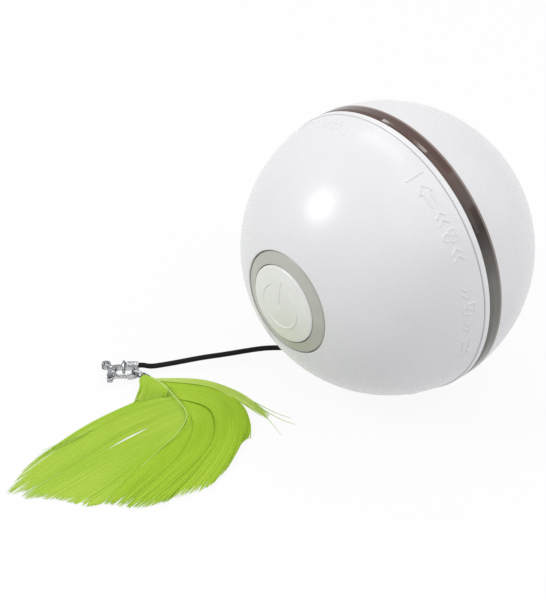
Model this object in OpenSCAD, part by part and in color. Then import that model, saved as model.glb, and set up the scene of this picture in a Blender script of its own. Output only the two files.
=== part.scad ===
// Rolling ball toy for a cat, with a push button on its side and a feather tail.
// All sizes are in millimetres. The belt touches the floor at the origin, +Z is up
// and the button faces -Y. Heights h are counted along the axle towards the button.

/* [Ball] */
// Radius of curvature of the two outer shells
shell_r = 38; // [37:0.25:42]
// How far each shell's centre lies past the middle, which lowers the poles
shell_set = 0.5; // [0.2:0.1:0.8]
// Wall of the two outer shells
wall = 2; // [1.6:0.1:2.4]

/* [Belt] */
// Width of the smoky light ring
ring_w = 4.2; // [3.6:0.1:5]
// Width of the light ring's sloped edge beside the collar
ring_bevel = 1.35; // [1:0.05:1.6]
// Depth of that slope at the collar
ring_fall = 0.45; // [0.3:0.05:0.6]
// Thickness of the light ring
ring_t = 3.6; // [3:0.1:4]
// Width of the pale collar beside the light ring
collar_w = 1.6; // [1.2:0.1:2.2]
// Height of the belt over the shells' radius
belt_proud = 0.1; // [0.1:0.1:0.6]
// Open seam between the front shell and the collar
seam_gap = 0.2; // [0.1:0.05:0.4]
// Small edge break on the belt
belt_edge = 0.2; // [0.1:0.05:0.3]
// Length of the light ring's spigot in the rear shell
spigot_l = 3; // [2:0.1:4]

/* [Twist lock] */
// Number of bayonet lugs on the collar, and on the front shell
lug_count = 3; // [2:1:3]
// Angle that each lug covers
lug_angle = 24; // [18:1:26]
// Twist from closed to open
twist = 36; // [30:1:40]
// Thickness of each lug along the axle
lug_t = 1.4; // [1.1:0.1:1.8]
// Radial depth of each lug
lug_depth = 1.2; // [0.9:0.1:1.5]
// Play round the lugs
lug_play = 0.3; // [0.2:0.05:0.4]
// Wall of the collar's neck
neck_wall = 1.6; // [1.2:0.1:2]
// Angle of each stop beside the lugs
stop_angle = 4; // [3:0.5:6]

/* [Button] */
// Radius of the grey bezel
bezel_r = 13.7; // [13:0.1:14.5]
// Depth of the bezel's face below the shell's surface
bezel_drop = 0.3; // [0.1:0.05:0.6]
// Radius of the button's cap
button_r = 10.4; // [9.5:0.1:10.8]
// Wall of the button's cap
button_wall = 1.4; // [1:0.1:1.8]
// Inward travel of the button
button_travel = 0.8; // [0.4:0.1:1]
// Open gap round the button, and round the bezel
button_gap = 0.25; // [0.1:0.05:0.4]
// Rounding of the outer edges of the button and the bezel, and of the shell's edge round them
face_edge = 0.5; // [0.3:0.05:0.7]
// Radius of the button's stem
stem_r = 2; // [1.6:0.1:2.4]
// Length of the tube that guides the stem
guide_l = 8; // [5:0.5:10]
// Radius of the carrier plate behind the button
carrier_r = 18; // [17.5:0.1:19]
// Turns of the return spring
spring_turns = 4; // [3:1:6]
// Wire of the return spring
spring_wire = 0.6; // [0.5:0.05:0.7]
// Coil radius of the return spring
spring_r = 4.4; // [4.2:0.1:5]

/* [Drive] */
// Diameter of the axle
axle_d = 3; // [2.5:0.1:3.2]
// Wall of the bearing bushes
bush_t = 0.8; // [0.6:0.05:0.9]
// Running clearance of shafts and bushes, on the radius
run_gap = 0.05; // [0.03:0.01:0.08]
// Teeth of the fixed gear on the rear shell
sun_teeth = 30; // [28:1:34]
// Teeth of the output pinion
output_teeth = 12; // [12:1:14]
// Teeth of the output wheel
wheel_teeth = 36; // [32:1:38]
// Teeth of the middle pinion
middle_teeth = 10; // [10:1:12]
// Teeth of the middle wheel
middle_wheel_teeth = 32; // [30:1:34]
// Teeth of the motor's pinion
motor_teeth = 8; // [8:1:10]
// Module of the output pair
output_module = 0.5; // [0.48:0.01:0.54]
// Module of the faster gears
train_module = 0.4; // [0.38:0.01:0.43]
// Width of the fixed gear
sun_w = 2.6; // [2:0.1:3]
// Width of each faster gear
gear_w = 1.8; // [1.4:0.1:2]
// Clearance beside each gear
gear_side = 0.3; // [0.2:0.05:0.4]
// Diameter of the motor
motor_d = 15.5; // [14:0.1:16]
// Width across the motor's flats
motor_flat = 12; // [11:0.1:12.5]
// Length of the motor
motor_l = 16; // [15:0.1:17]
// Diameter of the motor's shaft
motor_shaft_d = 1.5; // [1.2:0.1:1.6]
// Diameter of the output shaft
output_shaft_d = 2; // [1.8:0.1:2.4]
// Diameter of the middle gear's pin
middle_pin_d = 1.2; // [1:0.05:1.4]

/* [Carriage] */
// Clearance of the carriage inside the front bridge's legs
carriage_gap = 0.95; // [0.6:0.05:1.5]
// Thickness of the deck
deck_t = 1.8; // [1.5:0.1:2.2]
// Height of the deck over the axle
deck_top = 14; // [12.5:0.1:16]
// Radius of the gear plate
plate_r = 22.5; // [21.5:0.1:23]
// Thickness of the gear plate
plate_t = 2; // [1.6:0.1:2.2]
// Wall of the carriage's cradle and ribs
cradle_t = 1.4; // [1.1:0.1:1.6]
// Radius of screw posts
post_r = 2.3; // [2.1:0.05:2.5]
// Thickness of the battery
battery_t = 6; // [5:0.1:6.2]
// Height of the battery
battery_w = 18; // [15:0.1:20]
// Length of the battery
battery_l = 15; // [13:0.1:15.5]
// Thickness of the foam pad beside the battery
pad_t = 0.6; // [0.4:0.05:0.8]
// Height of the steel balance weight
weight_w = 15; // [10:0.1:17]
// Thickness of the steel balance weight
weight_t = 2.4; // [2:0.1:3]
// How far the circuit board's edge lies inside the deck's edge
board_in = 0.1; // [0.1:0.1:1]
// Thickness of the circuit board
board_t = 1.2; // [0.8:0.1:1.6]
// How far the cover's edge lies inside the board's edge
cover_in = 1; // [0.5:0.1:1.5]
// Thickness of the cover
cover_t = 1.5; // [1.2:0.1:1.8]
// Room between board and cover
board_room = 2.4; // [2:0.1:2.8]
// Room between motor and board
motor_room = 2.4; // [2.2:0.1:2.8]
// Radius of the hollow journal in front
journal_r = 6; // [5.8:0.1:6.5]
// Bore of the hollow journal
journal_bore = 4.6; // [4.5:0.05:4.8]
// Width of each arm of the front bridge
bridge_w = 7; // [6:0.1:8]
// Thickness of the front bridge
bridge_t = 2; // [1.6:0.1:2.4]
// Height of the front bridge over the collar's neck
bridge_rise = 7; // [6:0.1:7.4]
// Number of lamps on the board's edge
lamp_count = 6; // [3:1:8]

/* [Screws] */
// Shank radius of the screws
screw_r = 0.8; // [0.7:0.05:0.9]
// Head radius of the screws
head_r = 1.5; // [1.4:0.05:1.6]
// Head height of the screws
head_t = 0.9; // [0.7:0.05:1]
// Length of thread in a post
thread_l = 4; // [3:0.1:4.5]

/* [Tail] */
// Diameter of the tail's cord
cord_d = 1.4; // [1.2:0.05:1.6]
// Angle of the grommet from the button's pole
tail_tilt = 66; // [62:1:68]
// Turn of the grommet round the axle
tail_turn = 243; // [235:1:250]
// Flange radius of the grommet
grommet_r = 2.3; // [2:0.05:2.6]
// Flange thickness of the grommet
grommet_t = 0.5; // [0.4:0.05:0.7]
// Radius of the stopper knot inside the shell
knot_r = 1.8; // [1.5:0.05:2]
// Length of the crimp on the cord's end
crimp_l = 3; // [2.6:0.1:3.4]
// Wall of the crimp
crimp_t = 0.25; // [0.2:0.05:0.35]
// Clearance of the cord in its holes, on the radius
cord_gap = 0.05; // [0.03:0.01:0.1]

/* [Clasp] */
// Length of the clasp's claw
claw_l = 8.4; // [8:0.1:9]
// Width of the clasp's claw
claw_w = 4.8; // [4.6:0.05:5]
// Metal round the claw's opening
claw_t = 0.95; // [0.9:0.02:1]
// Thickness of the clasp
clasp_t = 1.3; // [1.2:0.02:1.4]
// Radius of the clasp's eye
eye_r = 1.25; // [1.1:0.05:1.4]
// Hole in the clasp's eye
eye_hole = 0.65; // [0.5:0.05:0.75]
// How far the eye stands off the claw's middle line
eye_lift = 2.8; // [2.2:0.1:3]
// Thickness of the gate
gate_t = 0.6; // [0.5:0.05:0.65]
// Width of the gate's arm
gate_w = 1; // [0.8:0.05:1.1]
// Clearance round the gate
gate_gap = 0.12; // [0.08:0.01:0.16]
// Opening angle of the gate
gate_swing = 16; // [12:1:18]
// Length of the gate's thumb lever
lever_l = 1.5; // [1.3:0.1:2]
// Direction of the thumb lever from the claw's middle line
lever_dir = 270; // [255:1:275]
// Radius of the thumb lever's pad
lever_pad = 0.75; // [0.6:0.05:0.9]
// Radius of the gate's pin
pin_r = 0.35; // [0.3:0.01:0.4]
// Head radius of the gate's pin
pin_head_r = 0.65; // [0.5:0.05:0.7]
// Radius of the two wire rings
link_r = 1.5; // [1.48:0.01:1.54]
// Middle radius of the wire ring between the clasp and the feather
feather_link_r = 1.6; // [1.5:0.05:1.65]
// Wire radius of the two wire rings
link_wire = 0.35; // [0.3:0.01:0.36]

/* [Feather] */
// Thickness of the feather's web
web_t = 0.7; // [0.5:0.05:0.8]
// Diameter of the quill at its root
quill_d = 1.2; // [1:0.05:1.3]
// Diameter of the quill at its tip
quill_tip_d = 0.5; // [0.4:0.05:0.7]
// Length of the cap on the quill
cap_l = 1.6; // [1.4:0.1:2.4]
// Wall of the cap on the quill
cap_t = 0.2; // [0.15:0.05:0.4]

/* [Hidden] */
$fn = 96;
// Fixed clearance of parts that seat in each other
fit = 0.05;
// Overlap that makes cuts clean
cut = 1;

// Belt and twist lock
ring_h = ring_w / 2;
belt_r = shell_r + belt_proud;
lip_h = ring_h + collar_w;
rim_h = lip_h + seam_gap;
shell_lug_h = rim_h + lug_play;
collar_lug_h = shell_lug_h + lug_t + lug_play;
neck_lead = 0.3;
neck_h = collar_lug_h + lug_t + neck_lead;
lug_r = hollow_r(collar_lug_h + lug_t) - lug_play;
neck_r = lug_r - lug_depth;
neck_in_r = neck_r - neck_wall;
ring_in_r = belt_r - ring_t;
spigot_h = -ring_h - spigot_l;
spigot_r = hollow_r(ring_h + spigot_l) - fit;
collar_seat = 2.2;
tab_l = 4.6;
tab_t = 3;
leg_t = 3.4;
leg_in = neck_in_r - tab_l;
bridge_screw_at = leg_in + leg_t / 2;
deck_r = leg_in - carriage_gap;
cradle_r = deck_r - cradle_t;
board_r = deck_r - board_in;
cover_r = board_r - cover_in;

// Button, from the outside in
seat_depth = 2;
seat_t = 1.8;
seat_h = skin_h(bezel_r) - seat_depth;
bore_r = button_r + button_gap;
skirt_t = 1.3;
skirt_r = bore_r + skirt_t;
skirt_l = 2.8;
skirt_h = seat_h - skirt_l;
flange_r = bore_r + 0.9;
flange_t = 1;
flange_h = skirt_h - fit - flange_t;
carrier_play = 0.6;
carrier_t = 1.8;
carrier_h = flange_h - button_travel - carrier_play;
carrier_screw_at = carrier_r - 2.8;
tube_wall = 1.6;
spring_top = skin_h(spring_r) - button_wall;
spring_room = spring_top - carrier_h;

// Carriage, from the front back
cover_gap = 0.8;
bridge_h = neck_h + bridge_rise;
cover_h1 = bridge_h - cover_gap;
cover_h0 = cover_h1 - cover_t;
board_h1 = cover_h0 - board_room;
board_h0 = board_h1 - board_t;
motor_h1 = board_h0 - motor_room;
motor_h0 = motor_h1 - motor_l;
deck_h0 = motor_h0 - deck_t;
gear_room = 2 * gear_w + 3 * gear_side;
plate_h1 = deck_h0 - gear_room;
plate_h0 = plate_h1 - plate_t;
sun_room = head_t + 0.6;
sun_h1 = plate_h0 - sun_room;
sun_h0 = sun_h1 - sun_w;
motor_cap_t = 2;
motor_tab_at = 4;
motor_tab_l = 0.6;
lead_r = 0.4;
lead_run = 3;
motor_boss_r = 3;
motor_boss_t = 1.2;
rotor_l = 9;
axle_r = axle_d / 2;
axle_in = 4.4;
bush_r = axle_r + run_gap + bush_t;
hub_r = 6.4;
hub_spigot_r = 2.8;
sun_screw_at = 4.8;
journal_h = bridge_h + bridge_t + 1.4;
bridge_hub_t = 2.2;
front_bush_r = journal_r + run_gap + bush_t;

// Gear train: centre directions, centre distances and levels
output_dir = 200;
motor_turn = -52;
motor_gap = 1.5;
train_reach = 0.97;
sun_pitch = output_module * (sun_teeth + output_teeth) / 2;
middle_pitch = train_module * (wheel_teeth + middle_teeth) / 2;
motor_pitch = train_module * (middle_wheel_teeth + motor_teeth) / 2;
output_at = polar(sun_pitch, output_dir);
motor_lean = output_at * polar(1, motor_turn);
motor_near = cradle_r - motor_d / 2 - motor_gap;
motor_far = sqrt(pow(motor_lean, 2) + pow(motor_near, 2) - pow(sun_pitch, 2)) - motor_lean;
motor_run = min(motor_far, train_reach * (middle_pitch + motor_pitch));
motor_at = output_at + polar(motor_run, motor_turn);
middle_dir = motor_turn - acos((pow(middle_pitch, 2) + pow(motor_run, 2) - pow(motor_pitch, 2))
    / (2 * middle_pitch * motor_run));
middle_at = output_at + polar(middle_pitch, middle_dir);
motor_dir = atan2(motor_at[1] - middle_at[1], motor_at[0] - middle_at[0]);
wheel_h = plate_h1 + gear_side;
middle_wheel_h = wheel_h + gear_w + gear_side;

// Battery and weight stand on shelves beside the motor
block_gap = 0.1;
rib_in = motor_flat / 2 + block_gap;
rib_out = rib_in + cradle_t;
battery_at = motor_at[0] + rib_out + pad_t;
weight_at = motor_at[0] - rib_out - block_gap;
shelf_wide = max(battery_at + battery_t, weight_t - weight_at);
shelf_low = sqrt(pow(cradle_r, 2) - pow(shelf_wide, 2)) - block_gap;
shelf_t = 1.3;
rib_top = 4;
cradle_span = [212, 328];

// Places of the posts, as points across the axle
deck_post_in = 2.65;
deck_posts = [polar(plate_r - post_r - deck_post_in - 1.3, 10.6), polar(plate_r - deck_post_in, -49.1),
    polar(plate_r - deck_post_in - 0.55, 158.7)];
board_post_in = 6.2;
board_posts = [for (a = [23, 157]) polar(board_r - board_post_in, a), polar(board_r - 2 * post_r, -12)];
switch_w = 6;
switch_t = 3.4;
switch_cap_r = 1.7;
switch_cap_in = 0.5;
switch_cap_l = 2.6;
switch_h = board_h1 + switch_t;
switch_top = switch_h + switch_cap_l;
port_at = [0, 15];
port_size = [7.6, 2.9];
port_wall = 0.4;
port_h = cover_h1 + 0.4;
lamp_r = 1.5;
lamp_l = 4;
lamp_leg = 0.5;
lamp_arc = [-24, 204];

// Tail: points of the cord and of the quill, in the ball's own frame
cord_route = [
    [-13.7, -12.9, 11.2], [-15.8, -15, 7.1], [-16.7, -15.9, 5.4], [-18.1, -17.2, 4.2], [-22.6, -21.5, 3.5],
    [-25, -25.1, 3.3], [-28.3, -30.8, 3], [-31.7, -36.3, 2.7], [-34.9, -42, 2.3], [-37.3, -45.5, 1.8],
    [-39.1, -47.8, 1.5], [-40.87, -48.99, 1.4], [-41.78, -49.98, 1.4], [-43.36, -51.71, 1.4]
];
cord_steps = 2;
knot_at = 2.2;
clasp_at = [-42.94, -56.58, 1.9];
clasp_turn = 47.5;
feather_low = 0.3;
quill_route = [
    [-35.507, -51.913, 1.9], [-34.51, -51.844, 1.9], [-33.213, -51.753, 1.9], [-31, -51.6, 1.9],
    [-28.5, -51.3, 1.8], [-25.5, -51.3, 1.75],
    [-22, -51.9, 1.7], [-18.5, -53.1, 1.7], [-15.6, -55.2, 1.65],
    [-13.7, -58.3, 1.6], [-12.4, -62, 1.55], [-11.4, -66.5, 1.5],
    [-10.2, -71.5, 1.4], [-9.4, -75, 1.4]
];
web_outline = [
    [-30.5, -51.5], [-32.6, -56.8], [-31, -61], [-32, -70], [-31.5, -82],
    [-28.5, -93.5], [-25, -104], [-19, -99.5], [-9, -92], [1, -84.5],
    [4.6, -75], [6, -68.5], [3.8, -59.5], [0.6, -51.5], [-1, -46.4],
    [-5.5, -42.4], [-9, -40.2], [3, -34.8], [-8, -36.4], [-18, -38.8],
    [-27, -42.8], [-33, -47.8]
];
web_steps = 4;

// Clasp, about the middle of the claw
claw_r = claw_w / 2;
claw_in = claw_r - claw_t;
claw_end = claw_l / 2 - claw_r;
claw_mid = 1.9;
ring_lane = (claw_r + claw_in) / 2;
gate_from = claw_mid - claw_end - 0.4;
gate_to = claw_mid + claw_end - 0.6;
pivot = [gate_from - 1.1, -ring_lane];
gate_hub_r = gate_w / 2 + 0.3;
open_from = claw_mid - claw_end + claw_t;
cheek_to = open_from - 0.45 * claw_in;
gate_rise = (open_from - pivot[0]) * tan(gate_swing) + gate_w / 2 / cos(gate_swing);
gate_clear = pivot[1] + gate_rise + gate_gap;
eye_at = claw_mid - claw_l / 2 - eye_r + 0.7;
lug_plate_t = 0.7;
lug_plate_r = 0.85;
lug_hole = link_wire + 0.25;
neck_dir = atan2(-eye_lift, claw_mid - claw_end - eye_at);
neck_l = norm([claw_mid - claw_end - eye_at, eye_lift]);
crimp_drop = 0.5;
crimp_ring_at = [claw_mid, ring_lane + 0.15];
crimp_lug_at = crimp_ring_at + [0, sqrt(pow(link_r, 2) - pow(crimp_drop, 2))];
crimp_r = cord_d / 2 + cord_gap + crimp_t;
crimp_lane = claw_r + crimp_r + 0.2;
crimp_from = crimp_lug_at[0] + lug_plate_r - 0.1;
feather_ring_dir = -20;
feather_ring_lean = 25;
feather_hang = sqrt(pow(feather_link_r - link_wire - 0.07, 2) - pow(clasp_t / 2 / cos(feather_ring_lean), 2))
    - claw_t / 2;
feather_ring_at = [claw_mid + claw_end, 0] + polar(ring_lane + feather_hang, feather_ring_dir);
cap_eye_at = feather_ring_at + polar(feather_link_r, feather_ring_dir);
cap_turn = 4 - clasp_turn;

// Inner radius of a shell at a height along the axle
function hollow_r(h) = sqrt(pow(shell_r - wall, 2) - pow(h + shell_set, 2));

// Height of a shell's outer skin over a radius
function skin_h(r) = dome_h(r, 0);

// Height of a dome that lies a little under the shell's outer face
function dome_h(r, drop) = sqrt(pow(shell_r - drop, 2) - r * r) - shell_set;

function polar(r, a) = [r * cos(a), r * sin(a)];

function unit(v) = v / norm(v);

// Smooth curve through points, open or closed
function bend(a, b, c, d, t) =
    0.5 * (2 * b + (c - a) * t + (2 * a - 5 * b + 4 * c - d) * t * t
    + (3 * b - a - 3 * c + d) * t * t * t);

function open_curve(p, n) = [
    for (i = [0 : len(p) - 2])
        for (k = [0 : n - 1])
            bend(p[max(i - 1, 0)], p[i], p[i + 1], p[min(i + 2, len(p) - 1)], k / n),
    p[len(p) - 1]
];

function closed_curve(p, n) = [
    for (i = [0 : len(p) - 1])
        for (k = [0 : n - 1])
            bend(p[(i + len(p) - 1) % len(p)], p[i], p[(i + 1) % len(p)], p[(i + 2) % len(p)], k / n)
];

// Outline of a spur gear with thinned involute teeth, one tooth on +X
function involute(a) = tan(a) * 180 / PI - a;

function flank(n, m, r) =
    let (base = m * n / 2 * cos(20), slim = 0.84)
    slim * 90 / n + involute(20) - involute(acos(min(1, base / max(r, base))));

function gear_outline(n, m) =
    let (pitch = m * n / 2, tip = pitch + 0.85 * m, root = pitch - 1.2 * m)
    let (low = max(root + 0.15 * m, pitch * cos(20)))
    let (steps = [root, low, pitch, tip])
    [for (i = [0 : n - 1]) each concat(
        [for (k = [0 : 3]) polar(steps[k], i * 360 / n - flank(n, m, steps[k]))],
        [for (k = [3 : -1 : 0]) polar(steps[k], i * 360 / n + flank(n, m, steps[k]))])];

// Puts a piece that is drawn along the axle into the ball
module on_axle() {
    translate([0, 0, belt_r]) rotate([90, 0, 0]) children();
}

module tube(outer, inner, h0, h1) {
    difference() {
        translate([0, 0, h0]) cylinder(r = outer, h = h1 - h0);
        translate([0, 0, h0 - cut]) cylinder(r = inner, h = h1 - h0 + 2 * cut);
    }
}

module rod(r, h0, h1) {
    translate([0, 0, h0]) cylinder(r = r, h = h1 - h0);
}

module sectors(count, inner, outer, h0, h1, a0, a1) {
    translate([0, 0, h0]) linear_extrude(height = h1 - h0) intersection() {
        difference() {
            circle(r = outer);
            circle(r = inner);
        }
        for (i = [0 : count - 1]) rotate(i * 360 / count)
            polygon([[0, 0], polar(2 * outer, a0), polar(2 * outer, (a0 + a1) / 2), polar(2 * outer, a1)]);
    }
}

module slab(x0, x1, y0, y1, h0, h1) {
    translate([x0, y0, h0]) cube([x1 - x0, y1 - y0, h1 - h0]);
}

// Pan-head screw, head up, with its seat at height 0
module screw(l) {
    difference() {
        union() {
            rod(head_r, 0, head_t);
            rod(screw_r, -l, head_t / 2);
        }
        slab(-head_r, head_r, -0.2, 0.2, head_t / 2, head_t + cut);
    }
}

module gear(n, m, h, w, turn) {
    translate([0, 0, h]) rotate([0, 0, turn]) linear_extrude(height = w) polygon(gear_outline(n, m));
}

module sweep(path, r0, r1, sides, ref) {
    last = len(path) - 1;
    rings = [
        for (i = [0 : last])
            let (t = unit(path[min(i + 1, last)] - path[max(i - 1, 0)]))
            let (u = unit(cross(ref, t)), v = cross(t, u), r = r0 + (r1 - r0) * i / last)
            for (k = [0 : sides - 1])
                path[i] + r * (cos(k * 360 / sides) * u + sin(k * 360 / sides) * v)
    ];
    walls = [
        for (i = [0 : last - 1])
            for (k = [0 : sides - 1])
                let (a = i * sides + k, b = i * sides + (k + 1) % sides)
                each [[a, a + sides, b], [b, a + sides, b + sides]]
    ];
    ends = [
        for (k = [1 : sides - 2])
            each [[0, k, k + 1], [last * sides, last * sides + k + 1, last * sides + k]]
    ];
    polyhedron(points = rings, faces = concat(walls, ends));
}

module at_each(points) {
    for (p = points) translate([p[0], p[1], 0]) children();
}

// Axis of the tail's hole, with the shell's skin at height 0
module on_tail() {
    on_axle() translate([0, 0, -shell_set]) rotate([0, 0, tail_turn]) rotate([0, tail_tilt, 0])
        translate([0, 0, shell_r]) children();
}

// What is cut off a dome's edge at a radius to round it; side is 1 inside the edge and -1 outside it
module edge_break(r, drop, e, side) {
    top = dome_h(r, drop);
    rotate_extrude() polygon([
        [r - side * e, dome_h(r - side * e, drop)],
        [r - side * e / 2, dome_h(r - side * e / 2, drop) - e * 0.13],
        [r - side * e * 0.13, top - e * 0.4], [r, top - e], [r + side * cut, top - e],
        [r + side * cut, top + cut], [r - side * e, top + cut]
    ]);
}

module front_shell() {
    color("#e6e6e8") difference() {
        on_axle() difference() {
            intersection() {
                translate([0, 0, -shell_set]) sphere(r = shell_r);
                union() {
                    difference() {
                        rod(shell_r + cut, rim_h, shell_r + cut);
                        translate([0, 0, -shell_set]) sphere(r = shell_r - wall);
                    }
                    tube(bezel_r + 2.4, skirt_r + fit, seat_h - seat_t, skin_h(bezel_r));
                    sectors(lug_count, neck_r + lug_play, hollow_r(shell_lug_h) + wall / 2,
                        shell_lug_h, shell_lug_h + lug_t, -lug_angle / 2, lug_angle / 2);
                    for (a = [30, 150, 270])
                        translate(polar(carrier_screw_at, a)) rod(post_r, carrier_h, seat_h);
                }
            }
            rod(bezel_r + button_gap, seat_h, shell_r + cut);
            edge_break(bezel_r + button_gap, 0, face_edge * 0.7, -1);
            rod(skirt_r + fit, carrier_h - cut, seat_h + cut);
            for (a = [30, 150, 270])
                translate(polar(carrier_screw_at, a)) rod(screw_r, carrier_h - cut, carrier_h + thread_l);
        }
        on_tail() rod(cord_d / 2 + cord_gap + grommet_t + fit, -wall - cut, cut);
    }
}

module button_bezel() {
    color("#b9b9b2") on_axle() {
        difference() {
            intersection() {
                translate([0, 0, -shell_set]) sphere(r = shell_r - bezel_drop);
                rod(bezel_r, seat_h, shell_r);
            }
            rod(bore_r, seat_h - cut, shell_r + cut);
            edge_break(bezel_r, bezel_drop, face_edge, 1);
        }
        tube(skirt_r, bore_r, skirt_h, seat_h);
    }
}

module button_carrier() {
    color("#d8d8d4") on_axle() difference() {
        union() {
            rod(carrier_r, carrier_h - carrier_t, carrier_h);
            rod(stem_r + run_gap + tube_wall, carrier_h - guide_l, carrier_h);
        }
        rod(stem_r + run_gap, carrier_h - guide_l - cut, carrier_h + cut);
        for (a = [30, 150, 270])
            translate(polar(carrier_screw_at, a))
                rod(screw_r + fit, carrier_h - carrier_t - cut, carrier_h + cut);
    }
}

module carrier_screws() {
    color("#9a9da0") on_axle() for (a = [30, 150, 270])
        translate(polar(carrier_screw_at, a)) translate([0, 0, carrier_h - carrier_t])
            rotate([180, 0, 0]) screw(carrier_t + thread_l - 0.5);
}

module button_spring() {
    rise = spring_room - spring_wire - 2 * fit;
    count = spring_turns * 10;
    path = [
        for (i = [0 : count])
            [spring_r * cos(i * 36), spring_r * sin(i * 36),
            carrier_h + spring_wire / 2 + fit + rise * i / count]
    ];
    color("#a8abae") on_axle() sweep(path, spring_wire / 2, spring_wire / 2, 6, [0, 0, 1]);
}

module power_button() {
    color("#dededc") on_axle() difference() {
        union() {
            intersection() {
                translate([0, 0, -shell_set]) sphere(r = shell_r);
                union() {
                    difference() {
                        rod(button_r, flange_h, shell_r);
                        rod(button_r - button_wall, flange_h - cut, seat_h);
                        intersection() {
                            translate([0, 0, -shell_set]) sphere(r = shell_r - button_wall);
                            rod(button_r - button_wall, flange_h - cut, shell_r);
                        }
                    }
                    rod(stem_r, switch_top + fit, skin_h(stem_r) - button_wall / 2);
                }
            }
            tube(flange_r, button_r - button_wall, flange_h, flange_h + flange_t);
        }
        rod(0.6, switch_top, switch_top + fit);
        edge_break(button_r, 0, face_edge, 1);
    }
}

module rear_shell() {
    color("#e6e6e8") on_axle() difference() {
        intersection() {
            translate([0, 0, shell_set]) sphere(r = shell_r);
            union() {
                difference() {
                    rod(shell_r + cut, -shell_r - cut, -ring_h);
                    translate([0, 0, shell_set]) sphere(r = shell_r - wall);
                }
                rod(hub_r, -shell_r, sun_h0);
                rod(hub_spigot_r, -shell_r, sun_h1 - 0.3);
            }
        }
        rod(axle_r, sun_h0 - axle_in, sun_h1);
        for (a = [0, 180])
            translate(polar(sun_screw_at, a)) rod(screw_r, sun_h0 - thread_l, sun_h0 + cut);
    }
}

module light_ring() {
    color("#5a4d49") on_axle() rotate_extrude() polygon([
        [ring_in_r, ring_h], [belt_r - ring_fall, ring_h],
        [belt_r - ring_fall * 0.45, ring_h - ring_bevel * 0.4], [belt_r, ring_h - ring_bevel],
        [belt_r, belt_edge - ring_h], [belt_r - belt_edge, -ring_h], [spigot_r, -ring_h],
        [spigot_r, spigot_h], [ring_in_r, spigot_h]
    ]);
}

module trim_collar() {
    stop_in = lug_angle / 2 + 0.6;
    stop_out = lug_angle / 2 + twist + 0.6;
    color("#ececee") on_axle() difference() {
        union() {
            rotate_extrude() polygon([
                [neck_in_r, ring_h - collar_seat], [ring_in_r - fit, ring_h - collar_seat],
                [ring_in_r - fit, ring_h], [belt_r - belt_edge, ring_h],
                [belt_r, ring_h + belt_edge], [belt_r, lip_h - belt_edge],
                [belt_r - belt_edge, lip_h], [neck_r, lip_h], [neck_r, neck_h],
                [neck_in_r, neck_h]
            ]);
            sectors(lug_count, neck_r - fit, lug_r, collar_lug_h, collar_lug_h + lug_t,
                -lug_angle / 2, lug_angle / 2);
            sectors(lug_count, neck_r - fit, lug_r, lip_h - fit, collar_lug_h,
                -stop_in - stop_angle, -stop_in);
            sectors(lug_count, neck_r - fit, lug_r, lip_h - fit, collar_lug_h,
                stop_out, stop_out + stop_angle);
            for (a = [60, 180, 300]) rotate([0, 0, a]) intersection() {
                slab(neck_in_r - tab_l, neck_in_r + neck_wall, -bridge_w / 2, bridge_w / 2,
                    neck_h - tab_t, neck_h);
                rod(neck_r - fit, neck_h - tab_t, neck_h);
            }
        }
        for (a = [60, 180, 300])
            translate(polar(bridge_screw_at, a)) rod(screw_r, neck_h - tab_t - cut, neck_h + cut);
    }
}

module front_bridge() {
    color("#d8d8d4") on_axle() difference() {
        union() {
            for (a = [60, 180, 300]) rotate([0, 0, a]) rotate([90, 0, 0])
                linear_extrude(height = bridge_w, center = true) polygon([
                    [front_bush_r + bridge_hub_t / 2, bridge_h], [leg_in, bridge_h], [leg_in, neck_h],
                    [leg_in + leg_t, neck_h], [leg_in + leg_t, bridge_h + bridge_t],
                    [front_bush_r + bridge_hub_t / 2, bridge_h + bridge_t]
                ]);
            rod(front_bush_r + bridge_hub_t, bridge_h, journal_h - 0.4);
        }
        rod(front_bush_r, bridge_h - cut, journal_h + cut);
        for (a = [60, 180, 300])
            translate(polar(bridge_screw_at, a)) rod(screw_r + fit, neck_h - cut, bridge_h + bridge_t + cut);
    }
}

module bridge_screws() {
    color("#9a9da0") on_axle() for (a = [60, 180, 300])
        translate(polar(bridge_screw_at, a)) translate([0, 0, bridge_h + bridge_t])
            screw(bridge_t + bridge_rise + tab_t - 0.5);
}

module front_bush() {
    color("#c9a24a") on_axle() tube(front_bush_r, journal_r + run_gap, bridge_h, journal_h - 0.4);
}

module drive_gear() {
    color("#e9e4d4") on_axle() difference() {
        gear(sun_teeth, output_module, sun_h0, sun_w, output_dir);
        rod(hub_spigot_r + fit, sun_h0 - cut, sun_h1 + cut);
        for (a = [0, 180])
            translate(polar(sun_screw_at, a)) rod(screw_r + fit, sun_h0 - cut, sun_h1 + cut);
    }
}

module drive_gear_screws() {
    color("#9a9da0") on_axle() for (a = [0, 180])
        translate(polar(sun_screw_at, a)) translate([0, 0, sun_h1]) screw(sun_w + thread_l - 0.5);
}

module drive_axle() {
    color("#c4c7ca") on_axle() rod(axle_r, sun_h0 - axle_in, motor_h0 + 0.6);
}

module deck_holes(h0, h1) {
    rod(bush_r, h0, h1);
    translate(output_at) rod(output_shaft_d / 2 + run_gap, h0, h1);
    translate(middle_at) rod(middle_pin_d / 2, h0, h1);
}

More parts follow.
